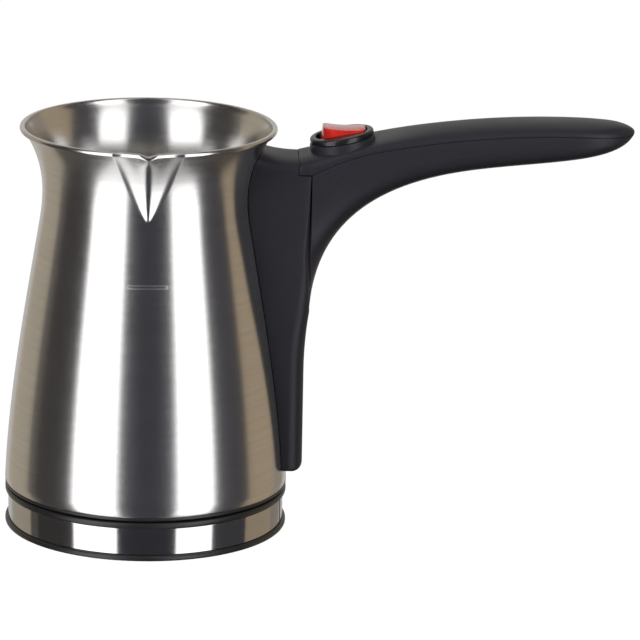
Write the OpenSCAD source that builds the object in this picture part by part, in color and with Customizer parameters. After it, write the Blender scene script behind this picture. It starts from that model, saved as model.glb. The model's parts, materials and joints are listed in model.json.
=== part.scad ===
// Electric Turkish coffee maker: a waisted steel pot with a pouring lip and a
// black handle, standing on a round cordless power base.
// Millimetres, +Z up. The origin is on the pot's axis, on the table. The handle
// points along +X, the pouring lip along -Y and the cord inlet along +Y.

/* [Power base] */
// Radius of the black rings of the base and of the pot's foot
ring_r = 51; // [49:0.5:54]
// How far the rubber ring stands below the pan
foot_h = 0.6; // [0.4:0.1:1.5]
// Height of the pan's black edge
pan_edge_h = 2; // [1.6:0.1:4]
// Height of the polished band
band_h = 9.9; // [9.6:0.1:16]
// How far the band stands back from the black rings
band_inset = 1.1; // [0.6:0.1:2]
// Thickness of the band's sheet
band_t = 0.5; // [0.3:0.1:1]
// Height of the deck's black edge
deck_edge_h = 2.3; // [2:0.1:4]
// Thickness of the base's moulded walls
base_wall = 2; // [1.5:0.1:2.2]
// Bore of the cord inlet
cord_d = 6.5; // [5:0.1:6.8]
// How far the base screws stand in from the black rings
base_screw_inset = 17; // [15:0.5:21]

/* [Contacts] */
// Radius of the boss that carries the contacts
boss_r = 15; // [14:0.5:17]
// Height of the boss above the deck
boss_h = 8.2; // [7:0.1:9]
// Mean radius of the inner contact ring
inner_ring_r = 6.4; // [6:0.1:7]
// Mean radius of the outer contact ring
outer_ring_r = 11.4; // [10.8:0.1:12]
// Thickness of a contact ring
contact_t = 0.8; // [0.5:0.1:1]
// Radius of the centre contact pin
pin_r = 2; // [1.5:0.1:2.3]

/* [Pot] */
// Gap that the pot's seat ring keeps above the deck
seat_h = 0.6; // [0.4:0.1:1.5]
// Height of the black edge of the pot's bottom cover
cover_edge_h = 1.4; // [1:0.1:3]
// How far the steel's lower edge stands out past the black rings
foot_lap = 0.1; // [0:0.05:0.5]
// Outer radius of the belly
belly_r = 46.25; // [45:0.25:47.5]
// Height of the belly radius above the lower edge
belly_h = 49.2; // [44:0.2:54]
// Outer radius of the neck
neck_r = 37.87; // [36:0.1:40]
// Height of the neck above the lower edge
neck_h = 107.2; // [103:0.1:111]
// Radius of the hollow curve below the neck
waist_curve = 65; // [50:1:80]
// Height of the hollow curve below the neck
waist_h = 10.5; // [8:0.5:13]
// Height of the rim above the neck
flare_h = 23.7; // [21:0.1:27]
// Radius of the flare above the neck
flare_curve = 40; // [34:1:50]
// Thickness of the steel sheet
sheet_t = 0.8; // [0.6:0.1:1.2]
// Radius of the rolled lip
lip_r = 1; // [0.8:0.1:1.3]
// Height of the pot's floor above the lower edge
floor_rise = 19.2; // [19:0.1:24]
// Half width of the pouring lip at the rim
spout_half_w = 13; // [10:0.5:16]
// Height of the pouring lip
spout_h = 26.7; // [20:0.1:30]
// How far the pouring lip reaches past the rim
spout_reach = 2.1; // [1:0.1:4]
// Height of the fill line above the lower edge
fill_line_h = 81.7; // [70:0.5:90]
// Length of the fill line
fill_line_w = 14; // [8:1:24]

/* [Heater] */
// How far the heat plate stands in from the black rings
plate_inset = 14; // [13:0.5:17]
// Thickness of the heat plate
plate_t = 3.5; // [2.5:0.1:3.8]
// Radius of the heating element's ring
element_ring_r = 27.5; // [26.5:0.1:29]
// Radius of the heating element's tube
element_r = 3.3; // [3:0.1:3.4]
// Diameter of the thermostat
thermostat_d = 15; // [13:0.5:16]
// How far the cover screws stand in from the black rings
cover_screw_inset = 8; // [7.5:0.1:9]

/* [Handle] */
// Half the width of the handle
handle_half_w = 13.3; // [12.5:0.1:14.5]
// How far the handle narrows towards its tip, as a share of its width
handle_taper = 0.12; // [0:0.01:0.2]
// How far the back of the leg stands out past the black rings
leg_reach = 5.5; // [5:0.1:7]
// Height of the leg's lower end above the table
leg_end_z = 22.5; // [20:0.5:30]
// How far the joint of post and grip stands back from the leg
joint_back = 1.8; // [1.8:0.1:3]
// Length of the grip, from the joint to its tip
grip_len = 115.5; // [102:0.5:122]
// Height of the handle's crest above the rim
crest_rise = 3.6; // [2:0.1:6]
// Distance from the tip of the grip back to the crest
crest_back = 29.3; // [24:0.1:36]
// Radius of the handle's long top curve
crown_r = 324; // [310:2:360]
// Depth of the top cover along the grip
cover_depth = 3.9; // [3.6:0.1:5]
// How much deeper the top cover gets at the post
cover_drop = 3.1; // [2.5:0.1:4.5]
// Wall of the handle's shells
shell_t = 2.2; // [1.6:0.1:2.6]
// Gap along the handle's seams
seam_gap = 0.1; // [0.05:0.05:0.3]

/* [Switch] */
// Distance from the joint to the middle of the switch
switch_back = 10.7; // [10:0.1:13]
// Height of the raised seat under the switch
seat_rise = 1.2; // [0.5:0.1:1.5]
// Diameter of the switch's bezel
bezel_d = 23; // [22:0.5:24]
// Height of the bezel
bezel_h = 2; // [1.5:0.1:2.5]
// Diameter of the panel hole
panel_d = 20; // [20:0.1:20.4]
// Depth of the switch's body below the panel
switch_depth = 14; // [13:0.5:15]
// Width of the rocker
rocker_w = 9.4; // [8:0.1:9.6]
// Length of the rocker
rocker_len = 16.2; // [15:0.1:16.4]
// Tilt of the rocker to each side of its middle
rocker_tilt = 12; // [8:0.5:12]
// Height of the rocker's ends above the panel, at its middle position
rocker_end_h = 4.3; // [3.5:0.1:5]
// How much the rocker's top is dished
rocker_dish = 0.6; // [0.3:0.1:1]
// Radius of the rocker's pivot pins
pivot_r = 1; // [0.8:0.1:1.2]

/* [Clearances] */
// Gap between pieces that are fitted together
fit_gap = 0.2; // [0.1:0.05:0.3]
// Gap of a pivot pin in its bore
run_gap = 0.05; // [0.02:0.01:0.08]
// Gap between a thread's core and its hole
thread_gap = 0.03; // [0.02:0.01:0.05]
// Smoothness of the round pieces
$fn = 96; // [48:16:160]

/* [Hidden] */

// moulded and pressed details
floor_t = 1;
floor_flange_h = 4;
band_r = ring_r - band_inset;
foot_r = ring_r + foot_lap;
pot_h = neck_h + flare_h;
base_screw_r = ring_r - base_screw_inset;
plate_r = ring_r - plate_inset;
cover_screw_r = ring_r - cover_screw_inset;
leg_x = ring_r + leg_reach;
joint_x = leg_x + joint_back;
tip_x = joint_x + grip_len;
crest_x = tip_x - crest_back;
switch_x = joint_x + switch_back;
edge_round = 0.7;
shank_r = 1.5;
head_r = 2.8;
head_h = 1.6;
cord_r = cord_d / 2;
lead_r = 1;
all_through = 400;

// heights, from the table up
pan_z = foot_h;
band_z = pan_z + pan_edge_h;
deck_edge_z = band_z + band_h;
deck_z = deck_edge_z + deck_edge_h;
cover_z = deck_z + seat_h;
steel_z = cover_z + cover_edge_h;
floor_z = steel_z + floor_rise;
belly_z = steel_z + belly_h;
neck_z = steel_z + neck_h;
rim_z = steel_z + pot_h;
lip_z = rim_z - lip_r;
spout_tip_z = rim_z - spout_h;
fill_line_z = steel_z + fill_line_h;
plate_z = floor_z - floor_t - plate_t;
boss_z = deck_z + boss_h;
inlet_z = (band_z + deck_edge_z) / 2;

// ---- common shapes ----

// A round tube from z0 to z1.
module tube(r_out, r_in, z0, z1) {
    translate([0, 0, z0])
        difference() {
            cylinder(h = z1 - z0, r = r_out);
            translate([0, 0, -1]) cylinder(h = z1 - z0 + 2, r = r_in);
        }
}

// A flexible lead of radius r: an eight-sided tube swept along a list of points,
// whose corners are cut twice to bend it.
function eased(p) = concat(
    [p[0]],
    [for (i = [0 : len(p) - 2]) each [0.75 * p[i] + 0.25 * p[i + 1], 0.25 * p[i] + 0.75 * p[i + 1]]],
    [p[len(p) - 1]]);
function unit(v) = v / norm(v);
function heading(p, i) =
    unit(unit(p[min(i + 1, len(p) - 1)] - p[i == len(p) - 1 ? i - 1 : i])
         + unit(p[i == 0 ? 1 : i] - p[max(i - 1, 0)]));
function sideways(p, i) =
    let (t = heading(p, i),
         v = i == 0 ? (abs(t[2]) < 0.9 ? [0, 0, 1] : [1, 0, 0]) : sideways(p, i - 1))
    unit(v - (v * t) * t);
module lead(points, r) {
    bent_tube(eased(eased(points)), r, 8);
}
module bent_tube(p, r, sides) {
    loft([for (i = [0 : len(p) - 1])
        let (t = heading(p, i), a = sideways(p, i), b = cross(t, a))
        [for (k = [0 : sides - 1])
            p[i] + r * cos(360 * k / sides) * a + r * sin(360 * k / sides) * b]]);
}

// Places its children at count places round a circle of radius r.
module around(count, r, first = 0) {
    for (i = [0 : count - 1])
        rotate([0, 0, first + 360 * i / count]) translate([r, 0, 0]) children();
}

// A screw whose head's underside is at the origin, with the shank along -Z.
module screw(length, radius = shank_r, head = head_r) {
    difference() {
        cylinder(h = head_h, r = head);
        for (a = [0, 90])
            rotate([0, 0, a])
                translate([-head, -0.4, head_h / 2]) cube([2 * head, 0.8, head_h]);
    }
    translate([0, 0, -length]) cylinder(h = length + 0.1, r = radius);
}

// A black ring with a rounded outer edge, from z0 to z1.
module edge_ring(r_out, r_in, z0, z1) {
    e = min(edge_round, 0.45 * (z1 - z0));
    rotate_extrude()
        union() {
            translate([r_in, z0]) square([r_out - e - r_in, z1 - z0]);
            translate([r_in, z0 + e]) square([r_out - r_in, z1 - z0 - 2 * e]);
            translate([r_out - e, z0 + e]) circle(r = e, $fn = 32);
            translate([r_out - e, z1 - e]) circle(r = e, $fn = 32);
        }
}

// ---- power base ----

pan_wall_r = band_r - band_t - fit_gap;
foot_ring_r = ring_r - 5;
foot_ring_w = 5;
foot_groove = 1;
pan_boss_h = 3.4;
base_head_z = pan_z + head_h + 0.4;
deck_post_z = band_z + pan_boss_h + fit_gap;
gland_r = cord_r + 1;
gland_flange_r = gland_r + 0.6;
gland_out_y = band_r + 2.5;
gland_in_y = pan_wall_r - base_wall - 5;

module cord_hole(r) {
    translate([0, gland_in_y - 8, inlet_z])
        rotate([-90, 0, 0]) cylinder(h = all_through, r = r);
}

module anti_slip_ring() {
    color("#2b2b2d")
        tube(foot_ring_r, foot_ring_r - foot_ring_w, 0, pan_z + foot_groove - 0.02);
}

module base_pan() {
    color("#161617")
        difference() {
            union() {
                edge_ring(ring_r, pan_wall_r - base_wall, pan_z, band_z);
                translate([0, 0, pan_z]) cylinder(h = pan_edge_h, r = pan_wall_r);
                tube(pan_wall_r, pan_wall_r - base_wall, pan_z, deck_edge_z - fit_gap);
                around(3, base_screw_r, 30)
                    translate([0, 0, pan_z])
                        cylinder(h = pan_edge_h + pan_boss_h, r = head_r + 2);
            }
            tube(foot_ring_r + 0.02, foot_ring_r - foot_ring_w - 0.02, -1, pan_z + foot_groove);
            around(3, base_screw_r, 30) {
                translate([0, 0, -1]) cylinder(h = base_head_z + 1, r = head_r + 0.3);
                cylinder(h = all_through, r = shank_r + 0.2);
            }
            cord_hole(gland_r + 0.05);
        }
}

module base_band() {
    color("#c9c9cb")
        difference() {
            tube(band_r, band_r - band_t, band_z + 0.05, deck_edge_z - 0.05);
            cord_hole(gland_r + 0.05);
        }
}

module base_deck() {
    lip_out_r = pan_wall_r - base_wall - fit_gap;
    color("#161617")
        difference() {
            union() {
                edge_ring(ring_r, boss_r + 8, deck_edge_z, deck_z);
                translate([0, 0, deck_z - base_wall]) cylinder(h = base_wall, r = ring_r - 2);
                tube(lip_out_r, lip_out_r - 1.5, deck_edge_z - 2, deck_z - 0.5);
                around(3, base_screw_r, 30)
                    translate([0, 0, deck_post_z])
                        cylinder(h = deck_z - 0.5 - deck_post_z, r = head_r + 1.2);
            }
            translate([0, 0, -1]) cylinder(h = all_through, r = boss_r + fit_gap);
            around(3, base_screw_r, 30)
                translate([0, 0, -1]) cylinder(h = deck_edge_z + 1, r = shank_r + thread_gap);
            cord_hole(gland_flange_r + 0.3);
        }
}

module base_screws() {
    color("#8d8f92")
        around(3, base_screw_r, 30)
            translate([0, 0, base_head_z]) mirror([0, 0, 1])
                screw(deck_edge_z - base_head_z - 1);
}

// Slot for a contact ring, wide enough for the ring and its spring contact.
slot_play = 0.6;
socket_flange_r = boss_r + 5;
socket_floor_z = band_z + 1.6;

module contact_slot(r, z0, z1) {
    tube(r + contact_t / 2 + slot_play, r - contact_t / 2 - slot_play, z0, z1);
}

module base_socket() {
    under_z = deck_z - base_wall;
    color("#232325")
        difference() {
            union() {
                translate([0, 0, socket_floor_z]) cylinder(h = boss_z - socket_floor_z, r = boss_r);
                translate([0, 0, under_z - 2]) cylinder(h = 2, r = socket_flange_r);
            }
            contact_slot(inner_ring_r, socket_floor_z + 2, boss_z + 1);
            contact_slot(outer_ring_r, socket_floor_z + 2, boss_z + 1);
            translate([0, 0, socket_floor_z + 2]) cylinder(h = all_through, r = pin_r + slot_play);
            // ways out for the tails of the spring contacts
            for (x = [0, inner_ring_r, outer_ring_r])
                translate([x, 0, 0]) cylinder(h = boss_z - 4, r = 0.9);
        }
}

// Spring contacts: a leaf beside each ring and beside the pin, with a tail below.
module socket_contacts() {
    leaf_t = 0.3;
    leaf_w = 1.2;
    tail_z = band_z + 0.4;
    color("#c8a04a")
        for (place = [[0, pin_r], [inner_ring_r, contact_t / 2], [outer_ring_r, contact_t / 2]]) {
            x = place[0] + place[1] + 0.15;
            translate([x, -leaf_w / 2, socket_floor_z + 2.1])
                cube([leaf_t, leaf_w, boss_z - 3 - socket_floor_z]);
            translate([place[0], 0, tail_z]) cylinder(h = socket_floor_z + 2.4 - tail_z, r = 0.7);
            translate([place[0], -0.5, socket_floor_z + 2.1]) cube([x - place[0] + 0.1, 1, 0.3]);
        }
}

module cord_gland() {
    color("#19191a")
        translate([0, 0, inlet_z])
            rotate([-90, 0, 0])
                difference() {
                    union() {
                        translate([0, 0, gland_in_y]) cylinder(h = gland_out_y - gland_in_y, r = gland_r);
                        translate([0, 0, band_r + 0.05])
                            cylinder(h = gland_out_y - band_r - 0.05, r = gland_flange_r);
                        translate([0, 0, pan_wall_r - base_wall - 2])
                            cylinder(h = 1.6, r = gland_flange_r);
                    }
                    translate([0, 0, gland_in_y - 1])
                        cylinder(h = gland_out_y - gland_in_y + 2, r = cord_r);
                }
}

// ---- the pot's outline ----

// Outer radius of the steel pot at height z: a hollow curve meets the neck, the
// belly runs from there to the foot, and a round flare opens to the rim.
bend_z = neck_z - waist_h;
bend_r = neck_r + waist_h ^ 2 / (2 * waist_curve);
bend_slope = waist_h / waist_curve;
belly_w = bend_z - belly_z;
foot_w = bend_z - steel_z;
belly_rest = belly_r - bend_r - bend_slope * belly_w;
foot_rest = foot_r - bend_r - bend_slope * foot_w;
bend_cubic = (foot_rest / foot_w ^ 2 - belly_rest / belly_w ^ 2) / (foot_w - belly_w);
bend_square = belly_rest / belly_w ^ 2 - bend_cubic * belly_w;

function pot_r(z) =
    z < bend_z
        ? bend_r + bend_slope * (bend_z - z) + bend_square * (bend_z - z) ^ 2
          + bend_cubic * (bend_z - z) ^ 3
    : z < neck_z ? neck_r + (neck_z - z) ^ 2 / (2 * waist_curve)
    : neck_r + flare_curve - sqrt(flare_curve ^ 2 - (z - neck_z) ^ 2);

wall_steps = 20;
function wall_z(i) = steel_z + (lip_z - steel_z) * i / wall_steps;
rim_r = pot_r(lip_z);
lip_tuck = 0.12;
lip_ring_r = rim_r - sheet_t + lip_r - lip_tuck;

// Outline of the filled pot, drawn in by the given amount.
module pot_outline(inset, top) {
    low = steel_z - (inset > 0 ? 1 : 0);
    polygon(concat(
        [[0, low], [foot_r - inset, low]],
        [for (i = [0 : wall_steps]) [pot_r(wall_z(i)) - inset, wall_z(i)]],
        [[rim_r - inset, lip_z + top], [0, lip_z + top]]));
}

// The pouring lip is a narrow prow: two flat faces that run from a point on the
// neck up to the rim, with a turned side face next to each. Its edges are tucked
// a little way into the sheet.
prow_tuck = 0.3;
prow_turn_w = 4;
prow_back_y = -20;
prow_mid_z = (spout_tip_z + lip_z) / 2;
spout_tip_y = -pot_r(spout_tip_z);
spout_corner_y = -sqrt(rim_r ^ 2 - spout_half_w ^ 2);
function on_pot(x, z) = -sqrt(pot_r(z) ^ 2 - x ^ 2);

module prow(inset) {
    turn_x = spout_half_w + prow_turn_w;
    mid_x = spout_half_w / 2 + prow_turn_w;
    front = [
        [0, spout_tip_y + inset + prow_tuck, spout_tip_z],
        [0, -rim_r - spout_reach + inset, lip_z],
        [spout_half_w - inset / 3, spout_corner_y + inset - prow_tuck / 2, lip_z],
        [turn_x, on_pot(turn_x, lip_z) + inset + prow_tuck, lip_z],
        [mid_x, on_pot(mid_x, prow_mid_z) + inset + prow_tuck, prow_mid_z]
    ];
    back = [for (p = front) [p[0], prow_back_y, p[2]]];
    for (side = [0, 1])
        mirror([side, 0, 0])
            polyhedron(concat(front, back), [
                [0, 1, 2], [0, 2, 4], [2, 3, 4],
                [5, 7, 6], [5, 9, 7], [7, 9, 8],
                [0, 5, 6], [0, 6, 1], [1, 6, 7], [1, 7, 2], [2, 7, 8], [2, 8, 3],
                [3, 8, 9], [3, 9, 4], [4, 9, 5], [4, 5, 0]
            ]);
    if (inset > 0)
        translate([0, 0, lip_z - 0.01])
            linear_extrude(4 * lip_r)
                polygon([for (i = [-3, -2, -1, 1, 2, 3])
                    let (p = abs(i) == 1 ? front[1] : abs(i) == 2 ? front[2] : [front[2][0], prow_back_y])
                    [abs(i) == 1 ? sign(i) * 0.01 : sign(i) * p[0], p[1]]]);
}

module vessel() {
    lip_end_x = spout_half_w + 0.6;
    lip_end_y = -sqrt(lip_ring_r ^ 2 - lip_end_x ^ 2);
    beak_y = -lip_ring_r - spout_reach;
    half_t = 0.85 * lip_r;
    color("#c4c2bf") {
        difference() {
            union() {
                rotate_extrude()
                    union() {
                        pot_outline(0, 0);
                        translate([lip_ring_r, lip_z]) circle(r = lip_r, $fn = 32);
                    }
                prow(0);
            }
            rotate_extrude() pot_outline(sheet_t, 3 * lip_r);
            prow(sheet_t);
            // pressed fill line
            rotate([0, 0, -90 - asin(fill_line_w / 2 / pot_r(fill_line_z))])
                rotate_extrude(angle = 2 * asin(fill_line_w / 2 / pot_r(fill_line_z)))
                    translate([pot_r(fill_line_z) - 0.2, fill_line_z]) square([2, 0.7]);
            lead_hole(lead_hole_r);
        }
        // the lip's stretch along the prow
        translate([0, 0, lip_z - 0.8 * lip_r])
            linear_extrude(1.6 * lip_r)
                polygon([
                    [-lip_end_x, lip_end_y - half_t], [0, beak_y - half_t], [lip_end_x, lip_end_y - half_t],
                    [lip_end_x, lip_end_y + half_t], [0, beak_y + half_t], [-lip_end_x, lip_end_y + half_t]
                ]);
    }
}

module vessel_floor() {
    in_r = sheet_t + 0.03;
    color("#b9b8b6")
        rotate_extrude()
            polygon([
                [0, floor_z - floor_t], [pot_r(floor_z - floor_t) - in_r, floor_z - floor_t],
                [pot_r(floor_z + floor_flange_h) - in_r, floor_z + floor_flange_h],
                [pot_r(floor_z + floor_flange_h) - in_r - floor_t, floor_z + floor_flange_h],
                [pot_r(floor_z) - in_r - floor_t, floor_z], [0, floor_z]
            ]);
}

// ---- heater ----

stud_r = 2.5;
stud_end_z = cover_z + 10;
groove_depth = 0.5;
element_z = plate_z - element_r + groove_depth;
element_gap_a = 18;
cold_a = 5;
cold_pin_r = 1.2;
cold_pin_z = element_z - element_r - 0.4;

module floor_studs() {
    color("#a9abad")
        around(3, cover_screw_r, 90)
            difference() {
                translate([0, 0, stud_end_z])
                    cylinder(h = floor_z - floor_t - stud_end_z, r = stud_r);
                translate([0, 0, stud_end_z - 1]) cylinder(h = 7, r = shank_r + thread_gap);
            }
}

module element_ring(r) {
    rotate([0, 0, element_gap_a])
        rotate_extrude(angle = 360 - 2 * element_gap_a)
            translate([element_ring_r, element_z]) circle(r = r, $fn = 48);
}

module heat_plate() {
    color("#b4b6b8")
        difference() {
            translate([0, 0, plate_z]) cylinder(h = plate_t, r = plate_r);
            element_ring(element_r + 0.02);
        }
}

// Places its children at the element's two cold ends.
module at_cold_ends() {
    for (side = [-1, 1])
        rotate([0, 0, side * (element_gap_a - cold_a)]) translate([element_ring_r, 0, 0]) children();
}

module heating_element() {
    color("#77706a") {
        element_ring(element_r);
        // cold ends: a thin stretch of the ring, then a pin down from it
        rotate([0, 0, element_gap_a - cold_a])
            rotate_extrude(angle = 360 - 2 * (element_gap_a - cold_a))
                translate([element_ring_r, element_z]) circle(r = cold_pin_r - 0.15, $fn = 32);
        at_cold_ends()
            translate([0, 0, cold_pin_z]) cylinder(h = element_z + cold_pin_r + 0.1 - cold_pin_z, r = cold_pin_r);
    }
}

function ring_point(r, a, z) = [r * cos(a), r * sin(a), z];

module element_seals() {
    color("#d8d4c8")
        at_cold_ends() tube(cold_pin_r + 0.8, cold_pin_r + 0.02, element_z - element_r, element_z - 1.4);
}

thermostat_x = 11;

module thermostat() {
    body_h = plate_z - coupler_top_z - 0.6;
    color("#3a3532")
        translate([-thermostat_x, 0, plate_z - body_h]) cylinder(h = body_h - 0.7, r = thermostat_d / 2 - 0.4);
    color("#c0c2c4")
        translate([-thermostat_x, 0, plate_z - 0.8]) cylinder(h = 0.8, r = thermostat_d / 2);
}

module thermal_fuse() {
    fuse_r = 1.8;
    fuse_x = 12.5;
    color("#bdbdbf") {
        translate([fuse_x, -6, plate_z - fuse_r - 0.4]) rotate([-90, 0, 0]) cylinder(h = 12, r = fuse_r);
        translate([fuse_x, -9, plate_z - fuse_r - 0.4]) rotate([-90, 0, 0]) cylinder(h = 18, r = 0.5);
    }
    // clip that holds the fuse to the plate
    color("#c9c9cb")
        translate([fuse_x, -2, 0])
            rotate([-90, 0, 0])
                linear_extrude(4)
                    difference() {
                        union() {
                            translate([-fuse_r - 0.5, -plate_z])
                                square([2 * fuse_r + 1, fuse_r + 0.4]);
                            translate([0, -plate_z + fuse_r + 0.4]) circle(r = fuse_r + 0.38);
                        }
                        translate([0, -plate_z + fuse_r + 0.4]) circle(r = fuse_r + 0.02);
                    }
}

// ---- bottom cover and coupler of the pot ----

cover_t = 2;
cover_wall_h = 5.5;
cover_wall_r = min(pot_r(steel_z), pot_r(steel_z + cover_wall_h)) - sheet_t - 1;
seat_ring_r = ring_r - 12;
coupler_r = boss_r + 4;
coupler_neck_r = coupler_r - 2.2;
recess_r = boss_r + 0.5;
recess_z = boss_z + 0.5;
coupler_top_z = recess_z + 2.2;
blade_end_z = deck_z - 0.8;

module bottom_cover() {
    color("#161617")
        difference() {
            union() {
                edge_ring(ring_r, coupler_neck_r + 0.15, cover_z, steel_z);
                tube(ring_r - 3, coupler_neck_r + 0.15, cover_z, cover_z + cover_t);
                tube(seat_ring_r, seat_ring_r - 3, deck_z, cover_z + 0.1);
                tube(cover_wall_r, cover_wall_r - 1.6, cover_z + 0.5, steel_z + cover_wall_h);
                around(3, cover_screw_r, 90)
                    translate([0, 0, cover_z + 0.5])
                        cylinder(h = stud_end_z - 0.1 - cover_z - 0.5, r = stud_r + 1);
            }
            around(3, cover_screw_r, 90) {
                translate([0, 0, cover_z - 1]) cylinder(h = head_h + 2, r = head_r + 0.2);
                translate([0, 0, cover_z - 1]) cylinder(h = all_through, r = shank_r + 0.2);
            }
            for (a = [60, 180, 300])
                rotate([0, 0, a]) translate([coupler_screw_r, 0, cover_z - 1])
                    cylinder(h = cover_t + 2, r = 1.3);
            around(3, cover_screw_r, 90)
                translate([0, 0, stud_end_z - 0.1]) cylinder(h = 9, r = stud_r + 2);
        }
}

seal_h = 2.4;
module cover_seal() {
    color("#c8c5bd")
        tube(min(pot_r(steel_z), pot_r(steel_z + seal_h)) - sheet_t - 0.15, cover_wall_r + 0.05,
             steel_z + 0.1, steel_z + seal_h);
}

module cover_screws() {
    color("#8d8f92")
        around(3, cover_screw_r, 90)
            translate([0, 0, cover_z + head_h + 1]) mirror([0, 0, 1])
                screw(stud_end_z + 5 - cover_z - head_h - 1);
}

coupler_screw_r = coupler_r + 2.2;

module coupler_body() {
    flange_z = cover_z + cover_t;
    color("#232325")
        difference() {
            union() {
                translate([0, 0, cover_z + 0.4]) cylinder(h = coupler_top_z - cover_z - 0.4, r = coupler_neck_r);
                translate([0, 0, flange_z]) cylinder(h = coupler_top_z - flange_z, r = coupler_r);
                translate([0, 0, flange_z]) cylinder(h = 1.6, r = coupler_screw_r + 2.2);
            }
            translate([0, 0, cover_z - 1]) cylinder(h = recess_z - cover_z + 1, r = recess_r);
            for (a = [60, 180, 300])
                rotate([0, 0, a]) translate([coupler_screw_r, 0, cover_z - 1])
                    cylinder(h = all_through, r = 1.1);
            for (r = [inner_ring_r, outer_ring_r])
                tube(r + contact_t / 2 + 0.02, r - contact_t / 2 - 0.02, recess_z - 1, recess_z + 1);
            for (r = [inner_ring_r, outer_ring_r])
                translate([-r, 0, recess_z]) cylinder(h = 5, r = tab_r + 0.02);
            translate([0, 0, recess_z - 1]) cylinder(h = 6, r = pin_r + 0.02);
        }
}

tab_r = contact_t / 2 - 0.1;

module coupler_pin() {
    color("#c8a04a") {
        translate([0, 0, blade_end_z]) cylinder(h = coupler_top_z - blade_end_z, r = pin_r);
        translate([0, 0, blade_end_z]) sphere(r = pin_r, $fn = 48);
    }
}

module coupler_ring(r) {
    color("#c8a04a") {
        tube(r + contact_t / 2, r - contact_t / 2, blade_end_z, recess_z + 0.98);
        translate([-r, 0, recess_z]) cylinder(h = 2.1, r = tab_r);
    }
}

module coupler_inner_ring() {
    coupler_ring(inner_ring_r);
}

module coupler_outer_ring() {
    coupler_ring(outer_ring_r);
}

// ---- handle ----

crest_z = rim_z + crest_rise;
tip_drop = 4.1;
tip_z = crest_z - tip_drop;
function handle_top(x) = crest_z - (crest_x - x) ^ 2 / (2 * crown_r);

// Rounding towards the tip: 1 along the grip, falling to 0 over the last length.
function end_round(x, len) = x < tip_x - len ? 1 : sqrt(max(0, 1 - ((x - tip_x + len) / len) ^ 2));

tip_round_side = 9;
tip_round_plan = 20;
drop_x = joint_x + 23.7;
function top_z(x) = tip_z + (handle_top(x) - tip_z) * end_round(x, tip_round_side);
function seam_z(x) =
    let (drop = x < drop_x ? cover_drop * ((drop_x - x) / (drop_x - joint_x)) ^ 2 : 0)
    tip_z + (handle_top(x) - cover_depth - drop - tip_z) * end_round(x, tip_round_side);
function half_w(x) = handle_half_w * end_round(x, tip_round_plan)
    * (1 - handle_taper * max(0, x - joint_x) / grip_len);

function bezier(p, t) =
    (1 - t) ^ 3 * p[0] + 3 * t * (1 - t) ^ 2 * p[1] + 3 * t ^ 2 * (1 - t) * p[2] + t ^ 3 * p[3];

// Underside of the grip: a wide fillet out of the leg, then a shallow curve that
// turns up round the tip.
fillet_end = [joint_x + 45.7, rim_z - 16.8];
fillet_start = [joint_x, rim_z - 66];
under_fillet = [
    fillet_start, fillet_start + [2, 25.8], fillet_end - [29.5, 7.1], fillet_end
];
under_tip = [
    fillet_end, fillet_end + [26.4, 6.35], [tip_x - 5.5, tip_z - 13], [tip_x, tip_z]
];
fillet_steps = 12;
tip_steps = 16;
under_points = concat(
    [for (i = [0 : fillet_steps - 1]) bezier(under_fillet, i / fillet_steps)],
    [for (i = [0 : tip_steps - 1]) bezier(under_tip, i / tip_steps)],
    [bezier(under_tip, 0.985)]);

function rounded(v, n) = sign(v) * abs(v) ^ (2 / n);

// Half an oval hung from the line z0 down to z1 (or stood on it), as points.
arc_steps = 10;
function half_oval(x, w, z0, z1, n) =
    [for (i = [0 : arc_steps]) let (a = 180 * i / arc_steps)
        [x, sign(z1 - z0) * w * rounded(cos(a), n), z0 + (z1 - z0) * rounded(sin(a), n)]];
function reversed(list) = [for (i = [len(list) - 1 : -1 : 0]) list[i]];

// A channel: an outer half oval and an inner one, joined along their edges.
function channel(x, w, z0, z1, t, n) =
    let (side = sign(z1 - z0), depth = abs(z1 - z0))
    concat(half_oval(x, w, z0, z1, n),
           reversed(half_oval(x, max(w - t, w / 4), z0, z0 + side * max(depth - t, depth / 5), n)));

// Solid through a list of sections with equally many points. The ends of a
// channel are closed between its outer and inner half ovals.
function fan(count) = [for (i = [1 : count - 2]) [0, i, i + 1]];
function strip(count) = [for (i = [0 : count / 2 - 2]) let (j = count - 1 - i)
    each [[i, i + 1, j - 1], [i, j - 1, j]]];
module loft(sections, is_channel = false) {
    count = len(sections[0]);
    last = len(sections) - 1;
    end = is_channel ? strip(count) : fan(count);
    polyhedron(
        [for (s = sections) each s],
        concat(
            end,
            [for (f = end) [last * count + f[0], last * count + f[2], last * count + f[1]]],
            [for (k = [0 : last - 1]) for (i = [0 : count - 1]) let (j = (i + 1) % count)
                each [[k * count + i, (k + 1) * count + i, (k + 1) * count + j],
                      [k * count + i, (k + 1) * count + j, k * count + j]]]));
}

screw_boss_r = 3.6;
grip_screw_in = 34;
grip_screw_out = 30;
grip_screw_places = [joint_x + grip_screw_in, tip_x - grip_screw_out];
// How square the sections of the grip and of the top cover are: 2 is an oval.
grip_square = 2.8;
cover_square = 2.2;

// Height of the grip's underside at x, read off the curve's own points.
function under_z(x) = lookup(x, under_points);
function grip_seat_z(x) = under_z(x) + shell_t + 0.4;

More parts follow.
